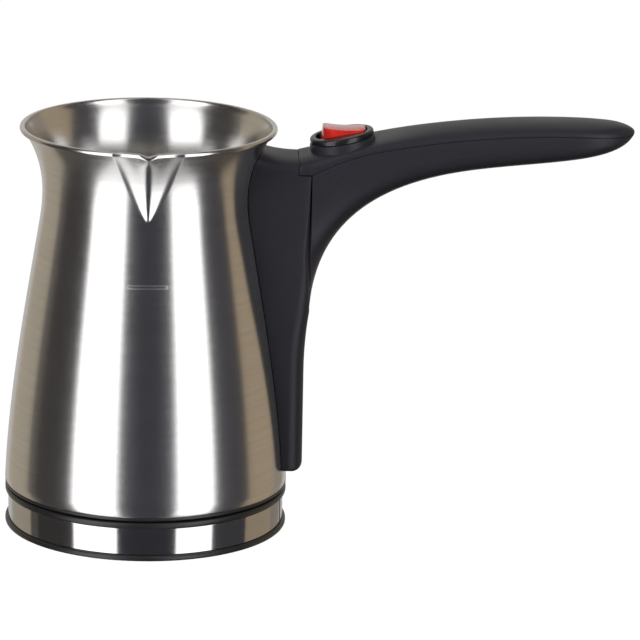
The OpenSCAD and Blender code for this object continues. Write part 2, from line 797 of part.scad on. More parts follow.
module handle_grip() {
    color("#1a1a1c")
        difference() {
            union() {
                loft([for (p = under_points)
                    channel(p[0], half_w(p[0]), seam_z(p[0]) - seam_gap / 2,
                            min(p[1], seam_z(p[0]) - 0.3), shell_t, grip_square)], is_channel = true);
                for (x = grip_screw_places)
                    translate([x, 0, under_z(x) + shell_t / 2])
                        cylinder(h = seam_z(x) - 0.4 - under_z(x) - shell_t / 2, r = screw_boss_r);
            }
            for (x = grip_screw_places)
                translate([x, 0, under_z(x) - 10]) {
                    cylinder(h = all_through, r = shank_r + 0.2);
                    cylinder(h = 10 + shell_t + 0.4, r = head_r + 0.2);
                }
        }
}

module grip_screws() {
    color("#8d8f92")
        for (x = grip_screw_places)
            translate([x, 0, grip_seat_z(x)]) mirror([0, 0, 1])
                screw(handle_top(x) - shell_t - 0.6 - grip_seat_z(x));
}

// Frame of the switch: origin on the top curve, tilted with it.
switch_tilt = atan((crest_x - switch_x) / crown_r);
switch_z = handle_top(switch_x) + seat_rise;
module at_switch() {
    translate([switch_x, 0, switch_z]) rotate([0, -switch_tilt, 0]) children();
}
function from_switch(u, v, w) = [
    switch_x + u * cos(switch_tilt) - w * sin(switch_tilt), v,
    switch_z + u * sin(switch_tilt) + w * cos(switch_tilt)
];

cover_x = joint_x - 4.7;
// The cover and the grip share their stations, so that the seam stays even.
cover_stations = concat([cover_x], [for (p = under_points) p[0]]);

// The seat under the switch reaches down to the cover's rounded flanks.
seat_depth = shell_t + seat_rise + 0.8;

module handle_top_cover() {
    color("#1e1e20") {
        difference() {
            union() {
                loft([for (x = cover_stations)
                    let (low = seam_z(max(x, joint_x)))
                    channel(x, half_w(x), low + seam_gap / 2, max(top_z(x), low + 0.3), shell_t, cover_square)],
                    is_channel = true);
                at_switch() translate([0, 0, -seat_depth])
                    cylinder(h = seat_depth, r = bezel_d / 2 + 0.6);
            }
            at_switch() translate([0, 0, -all_through / 2])
                cylinder(h = all_through, r = panel_d / 2 + 0.1);
        }
        for (x = grip_screw_places)
            difference() {
                translate([x, 0, seam_z(x) + 0.1])
                    cylinder(h = handle_top(x) - shell_t / 2 - seam_z(x) - 0.1, r = screw_boss_r);
                translate([x, 0, seam_z(x) - 1])
                    cylinder(h = handle_top(x) - shell_t - seam_z(x) + 0.6, r = shank_r + thread_gap);
            }
    }
}

// The post hugs the pot with a U-shaped section: stations go up the leg, past
// the fillet and to the top, which is arched as the top cover is.
leg_corner_r = 5.5;
pot_gap = 0.15;
step_z = seam_z(joint_x);
post_end_x = cover_x - seam_gap;
function post_back(z) =
    z < leg_end_z + 4 ? leg_x - 4 + sqrt(max(0, 16 - (leg_end_z + 4 - z) ^ 2))
    : z < fillet_start[1] - 22 ? leg_x
    : z < fillet_start[1]
        ? leg_x + (joint_x - seam_gap - leg_x) * ((z - fillet_start[1] + 22) / 22) ^ 2
    : joint_x - seam_gap;
function post_corner(z) =
    z < fillet_start[1] ? leg_corner_r
    : max(0.4, leg_corner_r * (1 - (z - fillet_start[1]) / 24));

corner_steps = 5;
hug_steps = 8;
// Section of the post at height z, w wide to each side.
function post_section(z, w, back, corner) =
    let (r = pot_r(min(z, lip_z)) + pot_gap)
    [for (p = concat(
        [for (i = [0 : hug_steps]) let (y = w - 2 * w * i / hug_steps) [sqrt(r ^ 2 - y ^ 2), y]],
        [for (i = [0 : corner_steps]) let (a = 90 * i / corner_steps)
            [back - corner + corner * sin(a), -w + corner - corner * cos(a)]],
        [for (i = [0 : corner_steps]) let (a = 90 * i / corner_steps)
            [back - corner + corner * cos(a), w - corner + corner * sin(a)]]))
        [p[0], p[1], z]];

post_stations = concat(
    [for (i = [0 : 4]) leg_end_z + 4 * (1 - cos(22.5 * i))],
    [for (i = [1 : 10]) leg_end_z + 4 + (fillet_start[1] - 26 - leg_end_z) * i / 10],
    [for (i = [1 : 5]) fillet_start[1] - 22 + 22 * i / 5],
    [for (i = [1 : 6]) fillet_start[1] + 24 * i / 6],
    [(fillet_start[1] + 24 + step_z) / 2, step_z - seam_gap]);
post_top_z = handle_top(post_end_x);

module handle_post() {
    low_x = leg_x - shell_t;
    high_x = joint_x - shell_t;
    color("#1a1a1c")
        difference() {
            union() {
                loft([for (z = post_stations)
                    post_section(z, handle_half_w, post_back(z), post_corner(z))]);
                loft(concat(
                    [post_section(step_z - 1, handle_half_w, post_end_x, 0.6)],
                    [for (a = [0, 20, 38, 54, 68, 79])
                        post_section(step_z + (post_top_z - step_z) * rounded(sin(a), cover_square),
                                     handle_half_w * rounded(cos(a), cover_square), post_end_x, 0.6)]));
            }
            // hollow of the leg and of the upper part, open towards the pot
            translate([20, -handle_half_w + shell_t, leg_end_z + shell_t])
                cube([low_x - 20, 2 * (handle_half_w - shell_t), post_top_z - 2 * shell_t - leg_end_z - 3]);
            translate([low_x - 1, -handle_half_w + shell_t, fillet_start[1] + 4])
                cube([high_x - low_x + 1, 2 * (handle_half_w - shell_t), step_z - shell_t - fillet_start[1] - 4]);
            // window for the leads, and the screws' holes
            translate([high_x - 1, -4, window_z - 6]) cube([shell_t + 3, 8, 12]);
            at_post_screws() translate([0, 0, -10]) cylinder(h = 20, r = shank_r + 0.2);
        }
}

window_z = rim_z - 30;
post_screw_y = 7.6;
post_screw_z = window_z;
// Places its children at the post's screws, with +Z pointing out along +X.
module at_post_screws() {
    for (side = [-1, 1])
        translate([joint_x - shell_t, side * post_screw_y, post_screw_z]) rotate([0, 90, 0]) children();
}

bracket_t = 1.5;
weld_gap = 0.2;
bracket_x = joint_x - shell_t - fit_gap;
module upper_bracket() {
    half_h = 6;
    inside_w = handle_half_w - shell_t;
    arm_y = inside_w - bracket_t / 2 - 0.45;
    arm_x = sqrt(pot_r(window_z - half_h) ^ 2 - arm_y ^ 2) + 0.45;
    strip_a = asin((inside_w - 0.4) / (pot_r(window_z - half_h) + bracket_t));
    color("#a9abad")
        difference() {
            union() {
                // strip welded on the pot
                rotate([0, 0, -strip_a])
                    rotate_extrude(angle = 2 * strip_a)
                        polygon(concat(
                            [for (i = [0 : 4]) let (z = window_z - half_h + i * half_h / 2)
                                [pot_r(z) + weld_gap, z]],
                            [for (i = [4 : -1 : 0]) let (z = window_z - half_h + i * half_h / 2)
                                [pot_r(z) + weld_gap + bracket_t, z]]));
                // two arms and the plate that takes the screws
                for (side = [-1, 1])
                    translate([arm_x, side * arm_y - bracket_t / 2, window_z - half_h])
                        cube([bracket_x - arm_x, bracket_t, 2 * half_h]);
                for (side = [-1, 1])
                    translate([bracket_x - bracket_t, side * 7.5 - 3.1, window_z - half_h])
                        cube([bracket_t, 6.2, 2 * half_h]);
            }
            at_post_screws() translate([0, 0, -10]) cylinder(h = 20, r = shank_r + thread_gap);
        }
}

module post_screws() {
    color("#8d8f92")
        at_post_screws() translate([0, 0, shell_t]) screw(shell_t + bracket_t + 1.8);
}

hook_z = steel_z + 28;
module lower_bracket() {
    color("#a9abad") {
        rotate([0, 0, -6])
            rotate_extrude(angle = 12)
                polygon([
                    [pot_r(hook_z - 6) + weld_gap, hook_z - 6], [pot_r(hook_z + 6) + weld_gap, hook_z + 6],
                    [pot_r(hook_z + 6) + 1.2, hook_z + 6], [pot_r(hook_z - 6) + 1.2, hook_z - 6]
                ]);
        translate([pot_r(hook_z) + 0.6, -4, hook_z]) cube([leg_x - shell_t - 0.3 - pot_r(hook_z) - 0.6, 8, 1.2]);
    }
}

// ---- leads from the switch to the heater ----

lead_y = 7.2;
lead_pitch = 2.6;
lead_hole_r = 3.4;
lead_hole_z = steel_z + 12;
lead_x = leg_x - shell_t - lead_r - 0.3;
lead_bend_x = 42;
// Where the live lead crosses under the element and rises beside the coupler.
cross_from = [38, 10];
cross_to = [24, 16.5];
riser = [14.5, 16];

module lead_hole(r) {
    translate([30, lead_y, lead_hole_z]) rotate([0, 90, 0]) cylinder(h = 30, r = r);
}

module lead_grommet() {
    wall_x = sqrt(pot_r(lead_hole_z) ^ 2 - lead_y ^ 2);
    color("#3b3b3d")
        difference() {
            translate([wall_x - sheet_t - 1.2, lead_y, lead_hole_z])
                rotate([0, 90, 0]) cylinder(h = sheet_t + 2, r = lead_hole_r - 0.05);
            translate([30, lead_y - lead_pitch / 2, lead_hole_z])
                rotate([0, 90, 0]) cylinder(h = 30, r = lead_r + 0.03);
            translate([30, lead_y + lead_pitch / 2, lead_hole_z])
                rotate([0, 90, 0]) cylinder(h = 30, r = lead_r + 0.03);
        }
}

// From the terminal through the post's window, down the leg and into the pot.
function lead_route(side, u, inner) =
    let (mid_y = side * lead_pitch / 2, y = lead_y + mid_y)
    concat(
        [from_switch(u, mid_y, blade_end - 0.1), from_switch(u, mid_y, blade_end - 1.3)],
        [[joint_x + 3, mid_y, window_z], [joint_x - 6.5, mid_y, window_z], [lead_x - 3, y, window_z - 16]],
        [[lead_x, y, hook_z + 14], [lead_x, y, lead_hole_z + 3], [lead_x, y, lead_hole_z]],
        [[lead_x - 1.5, y, lead_hole_z], [lead_bend_x, y, lead_hole_z]],
        inner);

// The live lead dips under the element and comes up beside the coupler.
module live_lead() {
    low_z = element_z - element_r - lead_r - 0.5;
    over_z = coupler_top_z + lead_r + 0.3;
    color("#7a2b22")
        lead(lead_route(1, 0,
            [[cross_from[0], cross_from[1], low_z], [cross_to[0], cross_to[1], low_z],
             [riser[0], riser[1], low_z],
             [riser[0], riser[1], over_z], [5, 10, over_z], [0.4, 3, over_z], [0, 0, over_z],
             [0, 0, coupler_top_z + 0.05]]), lead_r);
}

module switched_lead() {
    end = ring_point(element_ring_r, element_gap_a - cold_a, cold_pin_z);
    color("#2f3f6b")
        lead(lead_route(-1, terminal_places[2],
            [[end[0] + 3, end[1], end[2] - 1.2], [end[0], end[1], end[2] - 1.2],
             [end[0], end[1], end[2] - 0.05]]), lead_r);
}

// ---- switch ----

body_r = panel_d / 2 - 0.15;
pocket_r = rocker_len / 2 + 1.25;
pocket_w = rocker_w + 0.6;
pivot_w = -2;
pivot_len = 1.4;
seesaw_w = -8.9;
seesaw_tilt = 8;
seesaw_t = 0.5;
seesaw_len = 12;

module switch_housing() {
    color("#131314")
        at_switch()
            difference() {
                union() {
                    rotate_extrude()
                        union() {
                            translate([0, 0.02]) square([bezel_d / 2 - 0.8, bezel_h - 0.02]);
                            translate([0, 0.02]) square([bezel_d / 2, bezel_h - 0.82]);
                            translate([bezel_d / 2 - 0.8, bezel_h - 0.8]) circle(r = 0.8, $fn = 32);
                        }
                    translate([0, 0, -switch_depth]) cylinder(h = switch_depth + 1, r = body_r);
                }
                // opening for the rocker
                intersection() {
                    translate([0, 0, -4]) cylinder(h = 10, r = pocket_r);
                    translate([-20, -pocket_w / 2, -4]) cube([40, pocket_w, 10]);
                }
                // room for the seesaw and the contacts
                translate([-7.4, -pocket_w / 2, -switch_depth + 1]) cube([14.8, pocket_w, switch_depth - 2]);
                // pivot bores, and slots for the terminals
                translate([0, -rocker_w / 2 - pivot_len - 0.3, pivot_w])
                    rotate([-90, 0, 0]) cylinder(h = rocker_w + 2 * pivot_len + 0.6, r = pivot_r + run_gap);
                for (u = terminal_places)
                    translate([u - 0.45, -2.55, -switch_depth - 1]) cube([0.9, 5.1, 3]);
            }
}

terminal_places = [-5.5, 0, 5.5];
blade_len = 5.5;
blade_end = -switch_depth - blade_len;

module switch_terminals() {
    color("#c8a04a")
        at_switch() {
            for (u = terminal_places)
                translate([u - 0.4, -2.4, blade_end]) cube([0.8, 4.8, blade_len + 2]);
            // knife edge under the seesaw
            translate([-0.4, -2.4, -switch_depth]) cube([0.8, 4.8, seesaw_w - seesaw_t - 0.1 + switch_depth]);
            // fixed contact
            translate([5.1, -1.5, -switch_depth + 1]) cube([0.8, 3, switch_depth - 1 + seesaw_w - 1.9]);
            translate([5.5, 0, seesaw_w - 2]) cylinder(h = 0.6, r = 1, $fn = 32);
        }
}

module indicator_lamp() {
    color("#e9a06a")
        at_switch()
            translate([5, 0, -5.4]) rotate([-90, 0, 0])
                translate([0, 0, -3.2]) cylinder(h = 6.4, r = 1.3, $fn = 32);
    color("#b7b7b9")
        at_switch()
            for (side = [-1, 1])
                translate([5, side * 3.1 - 0.25, -5.4]) rotate([0, 0, 0])
                    translate([0, 0, -0.25]) cube([2.4, 0.5, 0.5]);
}

module switch_seesaw() {
    color("#d0aa58")
        at_switch() translate([0, 0, seesaw_w]) rotate([0, -seesaw_tilt, 0]) {
            translate([-seesaw_len / 2, -2, -seesaw_t / 2]) cube([seesaw_len, 4, seesaw_t]);
            translate([seesaw_len / 2 - 0.8, 0, -seesaw_t / 2 - 0.3]) cylinder(h = 0.4, r = 0.8, $fn = 32);
        }
}

// Turns its children with the rocker at rest: the end towards the pot is up.
module at_rocker() {
    at_switch() translate([0, 0, pivot_w]) rotate([0, rocker_tilt, 0]) children();
}

module rocker() {
    half = rocker_len / 2;
    top = rocker_end_h - pivot_w;
    dish_r = (half ^ 2 + rocker_dish ^ 2) / (2 * rocker_dish);
    color("#b3141c")
        at_rocker() {
            difference() {
                intersection() {
                    translate([0, 0, -3]) cylinder(h = 12, r = half);
                    rotate([90, 0, 0]) translate([0, 0, -rocker_w / 2])
                        linear_extrude(rocker_w)
                            polygon([[-half, 0.9], [half, 0.9], [half - 0.6, top], [-half + 0.6, top]]);
                }
                translate([0, 0, top + dish_r - rocker_dish])
                    rotate([90, 0, 0]) translate([0, 0, -20]) cylinder(h = 40, r = dish_r);
                // hollow underside
                translate([-half + 2.4, -rocker_w / 2 + 1.6, 0]) cube([rocker_len - 4.8, rocker_w - 3.2, 2.6]);
            }
            // cheeks with the pivot pins
            for (side = [-1, 1])
                translate([0, side * (rocker_w / 2 - 0.8), 0]) rotate([90, 0, 0])
                    translate([0, 0, -0.8]) cylinder(h = 1.6, r = pivot_r + 1.2);
            for (side = [-1, 1])
                translate([0, side * (rocker_w / 2 + pivot_len / 2 - 0.2), 0]) rotate([90, 0, 0])
                    translate([0, 0, -pivot_len / 2 - 0.2]) cylinder(h = pivot_len + 0.4, r = pivot_r);
        }
}

module rocker_plunger() {
    plunger_r = 1;
    tip_w = pivot_w - seesaw_w - seesaw_t / 2 - plunger_r - 0.35;
    color("#e6e3da")
        at_rocker() {
            translate([0, 0, -tip_w]) cylinder(h = tip_w + 2.55, r = plunger_r, $fn = 32);
            translate([0, 0, -tip_w]) sphere(r = plunger_r, $fn = 32);
            translate([0, 0, 1.4]) cylinder(h = 1.15, r = 1.8, $fn = 32);
        }
}

anti_slip_ring();
base_pan();
base_band();
base_deck();
base_socket();
socket_contacts();
base_screws();
cord_gland();
vessel();
vessel_floor();
floor_studs();
heat_plate();
heating_element();
element_seals();
thermostat();
thermal_fuse();
bottom_cover();
cover_seal();
cover_screws();
coupler_body();
coupler_pin();
coupler_inner_ring();
coupler_outer_ring();
upper_bracket();
lower_bracket();
handle_post();
handle_grip();
handle_top_cover();
post_screws();
grip_screws();
lead_grommet();
live_lead();
switched_lead();
switch_housing();
switch_terminals();
indicator_lamp();
switch_seesaw();
rocker();
rocker_plunger();
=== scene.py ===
import json
import math

import bmesh
import bpy
from mathutils import Matrix, Vector


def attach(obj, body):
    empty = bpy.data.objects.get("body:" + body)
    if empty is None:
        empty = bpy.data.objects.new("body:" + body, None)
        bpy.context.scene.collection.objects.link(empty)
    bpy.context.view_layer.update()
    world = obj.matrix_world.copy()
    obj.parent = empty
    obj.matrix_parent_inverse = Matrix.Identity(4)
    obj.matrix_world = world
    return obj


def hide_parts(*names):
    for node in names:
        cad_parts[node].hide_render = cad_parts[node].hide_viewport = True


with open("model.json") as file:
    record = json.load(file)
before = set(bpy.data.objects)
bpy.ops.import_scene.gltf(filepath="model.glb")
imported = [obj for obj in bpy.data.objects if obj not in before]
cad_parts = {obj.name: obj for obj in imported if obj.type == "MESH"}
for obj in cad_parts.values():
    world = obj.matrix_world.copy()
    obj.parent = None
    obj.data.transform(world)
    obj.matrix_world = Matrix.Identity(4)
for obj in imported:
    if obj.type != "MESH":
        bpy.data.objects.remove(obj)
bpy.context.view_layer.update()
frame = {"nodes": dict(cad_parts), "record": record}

cad_nodes = frame["nodes"]

# Sizes in millimetres, as in the part's source.
MM = 0.001
BAND_R = 49.9
BAND_LOW_Z = 2.62
BAND_HIGH_Z = 12.48
BAND_GAP = 1.6
BAND_GAP_TURN = 12.6
STEEL_Z = 16.8
NECK_Z = 124.0
RIM_Z = 147.7
LIP_R = 1.0
LIP_Z = RIM_Z - LIP_R
SHEET_T = 0.8
SPOUT_TIP_Z = 121.0
SPOUT_HALF_W = 12.7
FILL_LINE_Z = 98.5
FILL_LINE_W = 14.0

HANDLE_HALF_W = 13.3
HANDLE_TAPER = 0.12
CREST_X = 144.5
CREST_Z = 151.3
CROWN_R = 324.0
COVER_DEPTH = 3.9
COVER_DROP = 3.1
TIP_X = 173.8
TIP_Z = 147.2
JOINT_X = 58.3
COVER_X = 53.6
SEAM_GAP = 0.2
GRIP_SQUARE = 2.8
COVER_SQUARE = 2.2
NEAR_SQUARE = 3.4
NEAR_DROP = 0.8
LEG_X = 56.5
LEG_LOW_Z = 22.5
LEG_CORNER_R = 5.5
LEG_BEND_H = 22.0
POST_WALL = 2.2
SHELL_T = 1.6

SWITCH_X = 69.0
SEAT_RISE = 1.2


def metres(*values):
    return tuple(v * MM for v in values)


# ---- hand tools ----

def only(piece):
    if bpy.context.object and bpy.context.object.mode != "OBJECT":
        bpy.ops.object.mode_set(mode="OBJECT")
    bpy.ops.object.select_all(action="DESELECT")
    piece.select_set(True)
    bpy.context.view_layer.objects.active = piece


def open_piece(piece):
    only(piece)
    bpy.ops.object.mode_set(mode="EDIT")
    bpy.ops.mesh.select_mode(type="VERT")


def close_piece():
    bpy.ops.object.mode_set(mode="OBJECT")


def pick(test):
    """Selects the vertices whose place in millimetres passes the test."""
    mesh = bpy.context.object.data
    shape = bmesh.from_edit_mesh(mesh)
    for v in shape.verts:
        v.select = bool(test(v.co.x / MM, v.co.y / MM, v.co.z / MM))
    shape.select_flush_mode()
    bmesh.update_edit_mesh(mesh)


def move(x, y, z):
    bpy.ops.transform.translate(value=metres(x, y, z))


def pull(x, y, z):
    bpy.ops.mesh.extrude_region_move(TRANSFORM_OT_translate={"value": metres(x, y, z)})


def stretch(x, y, z, about):
    bpy.ops.transform.resize(value=(x, y, z), center_override=metres(*about))


def added(name):
    """Names the new primitive and puts its place into its mesh."""
    piece = bpy.context.object
    piece.name = piece.data.name = name
    bpy.ops.object.transform_apply(location=True, rotation=True, scale=True)
    return piece


def tool(piece, kind, **settings):
    modifier = piece.modifiers.new(kind.lower(), kind)
    for key, value in settings.items():
        setattr(modifier, key, value)
    only(piece)
    bpy.ops.object.modifier_apply(modifier=modifier.name)


def cut(piece, cutter, how="DIFFERENCE"):
    tool(piece, "BOOLEAN", object=cutter, operation=how, solver="EXACT")
    bpy.data.objects.remove(cutter)


def soft_edges(piece, width, degrees=40, segments=3):
    tool(piece, "BEVEL", width=width * MM, segments=segments, limit_method="ANGLE",
         angle_limit=math.radians(degrees), harden_normals=False)


def smooth(piece, degrees=32):
    only(piece)
    bpy.ops.object.shade_smooth_by_angle(angle=math.radians(degrees))


def outline(name, points):
    """A chain of edges through points (x, y, z) in millimetres."""
    bpy.ops.object.select_all(action="DESELECT")
    bpy.ops.mesh.primitive_plane_add(size=MM, location=metres(*points[0]))
    piece = added(name)
    open_piece(piece)
    bpy.ops.mesh.select_all(action="SELECT")
    bpy.ops.mesh.merge(type="CENTER")
    for last, here in zip(points, points[1:]):
        bpy.ops.mesh.extrude_vertices_move(TRANSFORM_OT_translate={
            "value": metres(*(b - a for a, b in zip(last, here)))})
    close_piece()
    return piece


def merged(piece, reach=0.002):
    open_piece(piece)
    bpy.ops.mesh.select_all(action="SELECT")
    bpy.ops.mesh.remove_doubles(threshold=reach * MM)
    bpy.ops.mesh.normals_make_consistent(inside=False)
    close_piece()


def turned(name, section, sweeps=((360, 160),), about=(0, 0, 0), axis=(0, 0, 1)):
    """Spins a section of (radius, height) points round the axis, from +X towards +Y."""
    piece = outline(name, [(r, 0, z) for r, z in section])
    open_piece(piece)
    bpy.ops.mesh.select_all(action="SELECT")
    for degrees, steps in sweeps:
        bpy.ops.mesh.spin(steps=steps, angle=-math.radians(degrees),
                          center=metres(*about), axis=axis)
    close_piece()
    merged(piece)
    return piece


def plate(name, points, y_low, y_high):
    """A solid with the side outline (x, z), from y_low to y_high."""
    loop = [(x, y_low, z) for x, z in points]
    piece = outline(name, loop)
    open_piece(piece)
    bpy.ops.mesh.select_all(action="SELECT")
    bpy.ops.mesh.edge_face_add()
    pull(0, y_high - y_low, 0)
    close_piece()
    merged(piece)
    return piece


def block(name, xs, width, zs):
    """A box from xs[0] to xs[1] and zs[0] to zs[1], as wide along Y as given."""
    bpy.ops.object.select_all(action="DESELECT")
    bpy.ops.mesh.primitive_cube_add(
        size=1, location=metres(sum(xs) / 2, 0, sum(zs) / 2),
        scale=metres(xs[1] - xs[0], width, zs[1] - zs[0]))
    return added(name)


def settle(piece, body, slot, finish, *stood_for):
    piece.data.materials.clear()
    piece.data.materials.append(finish)
    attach(piece, body)
    if stood_for:
        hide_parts(*stood_for)
    return piece


# ---- finishes ----

def blank_finish(name, colour, roughness, metallic=0.0):
    finish = bpy.data.materials.new(name)
    finish.use_nodes = True
    shader = finish.node_tree.nodes["Principled BSDF"]
    shader.inputs["Base Color"].default_value = (*colour, 1)
    shader.inputs["Roughness"].default_value = roughness
    shader.inputs["Metallic"].default_value = metallic
    return finish, shader


def add_node(finish, kind, **settings):
    node = finish.node_tree.nodes.new(kind)
    for key, value in settings.items():
        if key in node.inputs:
            node.inputs[key].default_value = value
        else:
            setattr(node, key, value)
    return node


def grain(finish, scale, detail=3.0, stretch_by=(1, 1, 1)):
    """Noise in the piece's own coordinates; the scale is in features per metre."""
    links = finish.node_tree.links
    place = add_node(finish, "ShaderNodeTexCoord")
    turn = add_node(finish, "ShaderNodeMapping")
    turn.inputs["Scale"].default_value = stretch_by
    noise = add_node(finish, "ShaderNodeTexNoise")
    noise.inputs["Scale"].default_value = scale
    noise.inputs["Detail"].default_value = detail
    links.new(place.outputs["Object"], turn.inputs["Vector"])
    links.new(turn.outputs["Vector"], noise.inputs["Vector"])
    return noise.outputs["Fac"]


def spread(finish, source, low, high, first=0.3, last=0.7):
    node = add_node(finish, "ShaderNodeMapRange")
    node.inputs["From Min"].default_value = first
    node.inputs["From Max"].default_value = last
    node.inputs["To Min"].default_value = low
    node.inputs["To Max"].default_value = high
    finish.node_tree.links.new(source, node.inputs["Value"])
    return node.outputs["Result"]


def tint(finish, source, colour_a, colour_b, first=0.3, last=0.7):
    ramp = add_node(finish, "ShaderNodeValToRGB")
    ramp.color_ramp.elements[0].position = first
    ramp.color_ramp.elements[0].color = (*colour_a, 1)
    ramp.color_ramp.elements[1].position = last
    ramp.color_ramp.elements[1].color = (*colour_b, 1)
    finish.node_tree.links.new(source, ramp.inputs["Fac"])
    return ramp.outputs["Color"]


def relief(finish, shader, source, depth, strength):
    bump = add_node(finish, "ShaderNodeBump")
    bump.inputs["Strength"].default_value = strength
    bump.inputs["Distance"].default_value = depth * MM
    finish.node_tree.links.new(source, bump.inputs["Height"])
    finish.node_tree.links.new(bump.outputs["Normal"], shader.inputs["Normal"])


def steel_brushed_round(name, colour, roughness, along=15.0, across=4600.0, anisotropy=0.7):
    """Sheet steel brushed round the pot's axis: fine level lines, slow round it."""
    finish, shader = blank_finish(name, colour, roughness, 1.0)
    links = finish.node_tree.links
    fine = grain(finish, 1.0, 4.0, (along, along, across))
    broad = grain(finish, 1.0, 2.0, (along / 3, along / 3, across / 7))
    links.new(spread(finish, fine, roughness * 0.9, roughness * 1.12), shader.inputs["Roughness"])
    links.new(tint(finish, broad, [c * 0.96 for c in colour], [min(1, c * 1.03) for c in colour]),
              shader.inputs["Base Color"])
    relief(finish, shader, fine, 0.008, 0.16)
    tangent = add_node(finish, "ShaderNodeTangent", direction_type="RADIAL", axis="Z")
    links.new(tangent.outputs["Tangent"], shader.inputs["Tangent"])
    shader.inputs["Anisotropic"].default_value = anisotropy
    shader.inputs["Anisotropic Rotation"].default_value = 0.25
    return finish


def steel_plain(name, colour, roughness, scale=700.0):
    finish, shader = blank_finish(name, colour, roughness, 1.0)
    links = finish.node_tree.links
    cloud = grain(finish, scale, 4.0)
    links.new(spread(finish, cloud, roughness * 0.75, roughness * 1.3), shader.inputs["Roughness"])
    links.new(tint(finish, cloud, [c * 0.88 for c in colour], colour), shader.inputs["Base Color"])
    relief(finish, shader, cloud, 0.01, 0.3)
    return finish


def moulded_plastic(name, colour, roughness, grain_scale=1800.0, depth=0.03, gloss=0.5):
    """Moulded plastic with a fine eroded texture and slow changes of sheen."""
    finish, shader = blank_finish(name, colour, roughness)
    links = finish.node_tree.links
    pits = grain(finish, grain_scale, 2.0)
    cloud = grain(finish, 55.0, 3.0)
    links.new(spread(finish, cloud, roughness * 0.9, roughness * 1.12), shader.inputs["Roughness"])
    links.new(tint(finish, pits, [c * 0.85 for c in colour], [c * 1.15 for c in colour]),
              shader.inputs["Base Color"])
    relief(finish, shader, pits, depth, 0.35)
    shader.inputs["Specular IOR Level"].default_value = gloss
    return finish


def translucent_red(name):
    finish, shader = blank_finish(name, (0.4, 0.015, 0.01), 0.12)
    links = finish.node_tree.links
    cloud = grain(finish, 260.0, 2.0)
    links.new(tint(finish, cloud, (0.25, 0.01, 0.007), (0.42, 0.02, 0.012)),
              shader.inputs["Base Color"])
    links.new(spread(finish, cloud, 0.09, 0.16), shader.inputs["Roughness"])
    relief(finish, shader, cloud, 0.02, 0.3)
    shader.inputs["Subsurface Weight"].default_value = 0.15
    shader.inputs["Subsurface Radius"].default_value = (0.003, 0.0006, 0.0004)
    shader.inputs["Coat Weight"].default_value = 1.0
    shader.inputs["Coat Roughness"].default_value = 0.05
    return finish


finishes = {
    "brushed_steel": steel_brushed_round("steel_brushed_round_pot", (0.66, 0.65, 0.64), 0.24),
    "polished_band": steel_brushed_round("steel_polished_band", (0.53, 0.525, 0.52), 0.105,
                                         8.0, 1200.0, 0.2),
    "floor_steel": steel_plain("steel_pot_floor", (0.62, 0.61, 0.6), 0.3, 2600.0),
    "bracket_steel": steel_plain("steel_bracket", (0.55, 0.56, 0.57), 0.35),
    "screw_steel": steel_plain("steel_zinc_plated", (0.52, 0.53, 0.54), 0.28),
    "heat_plate": steel_plain("aluminium_plate", (0.66, 0.67, 0.68), 0.45),
    "element_sheath": steel_plain("heater_sheath", (0.36, 0.34, 0.32), 0.5),
    "brass": steel_plain("brass_contact", (0.78, 0.58, 0.26), 0.25),
    "rubber_ring": moulded_plastic("black_rubber", (0.014, 0.014, 0.015), 0.5, 1200.0, 0.03, 0.4),
    "black_plastic": moulded_plastic("black_ring_plastic", (0.008, 0.008, 0.0085), 0.34),
    "dark_plastic": moulded_plastic("dark_socket_plastic", (0.035, 0.035, 0.038), 0.5),
    "handle_black": moulded_plastic("black_handle_plastic", (0.014, 0.014, 0.0175), 0.37, 2400.0,
                                    0.02, 0.18),
    "switch_black": moulded_plastic("black_switch_plastic", (0.007, 0.007, 0.008), 0.26, 1500.0,
                                    0.01),
    "seal_white": moulded_plastic("silicone_seal", (0.62, 0.6, 0.56), 0.55, 900.0),
    "thermostat_case": moulded_plastic("brown_thermostat_case", (0.12, 0.08, 0.06), 0.45, 900.0),
    "lead_red": moulded_plastic("red_lead_sleeve", (0.42, 0.05, 0.04), 0.5, 900.0),
    "lead_blue": moulded_plastic("blue_lead_sleeve", (0.04, 0.09, 0.3), 0.5, 900.0),
    "lamp_glass": moulded_plastic("amber_lamp_glass", (0.8, 0.42, 0.2), 0.12, 500.0, 0.01),
    "plunger_white": moulded_plastic("white_plunger", (0.8, 0.79, 0.75), 0.4, 900.0),
    "rocker_red": translucent_red("red_rocker_plastic"),
}


# ---- the steel pot ----

# Radii of the neck, belly and foot. Below the hollow curve the line is a cubic
# that starts at BEND_Z and passes through the belly and the foot.
NECK_R = 37.87
BELLY_R = 46.25
FOOT_R = 51.1
WAIST_CURVE = 65.0
WAIST_H = 10.5
FLARE_CURVE = 40.0
BEND_Z = NECK_Z - WAIST_H
BEND_R = NECK_R + WAIST_H ** 2 / (2 * WAIST_CURVE)
BEND_SLOPE = WAIST_H / WAIST_CURVE
BELLY_W = 47.5
FOOT_W = BEND_Z - STEEL_Z
BELLY_REST = BELLY_R - BEND_R - BEND_SLOPE * BELLY_W
FOOT_REST = FOOT_R - BEND_R - BEND_SLOPE * FOOT_W
BEND_CUBIC = (FOOT_REST / FOOT_W ** 2 - BELLY_REST / BELLY_W ** 2) / (FOOT_W - BELLY_W)
BEND_SQUARE = BELLY_REST / BELLY_W ** 2 - BEND_CUBIC * BELLY_W


def pot_r(z):
    """Outer radius of the pot at height z."""
    if z < BEND_Z:
        down = BEND_Z - z
        return BEND_R + BEND_SLOPE * down + BEND_SQUARE * down ** 2 + BEND_CUBIC * down ** 3
    if z < NECK_Z:
        return NECK_R + (NECK_Z - z) ** 2 / (2 * WAIST_CURVE)
    return NECK_R + FLARE_CURVE - math.sqrt(FLARE_CURVE ** 2 - (z - NECK_Z) ** 2)


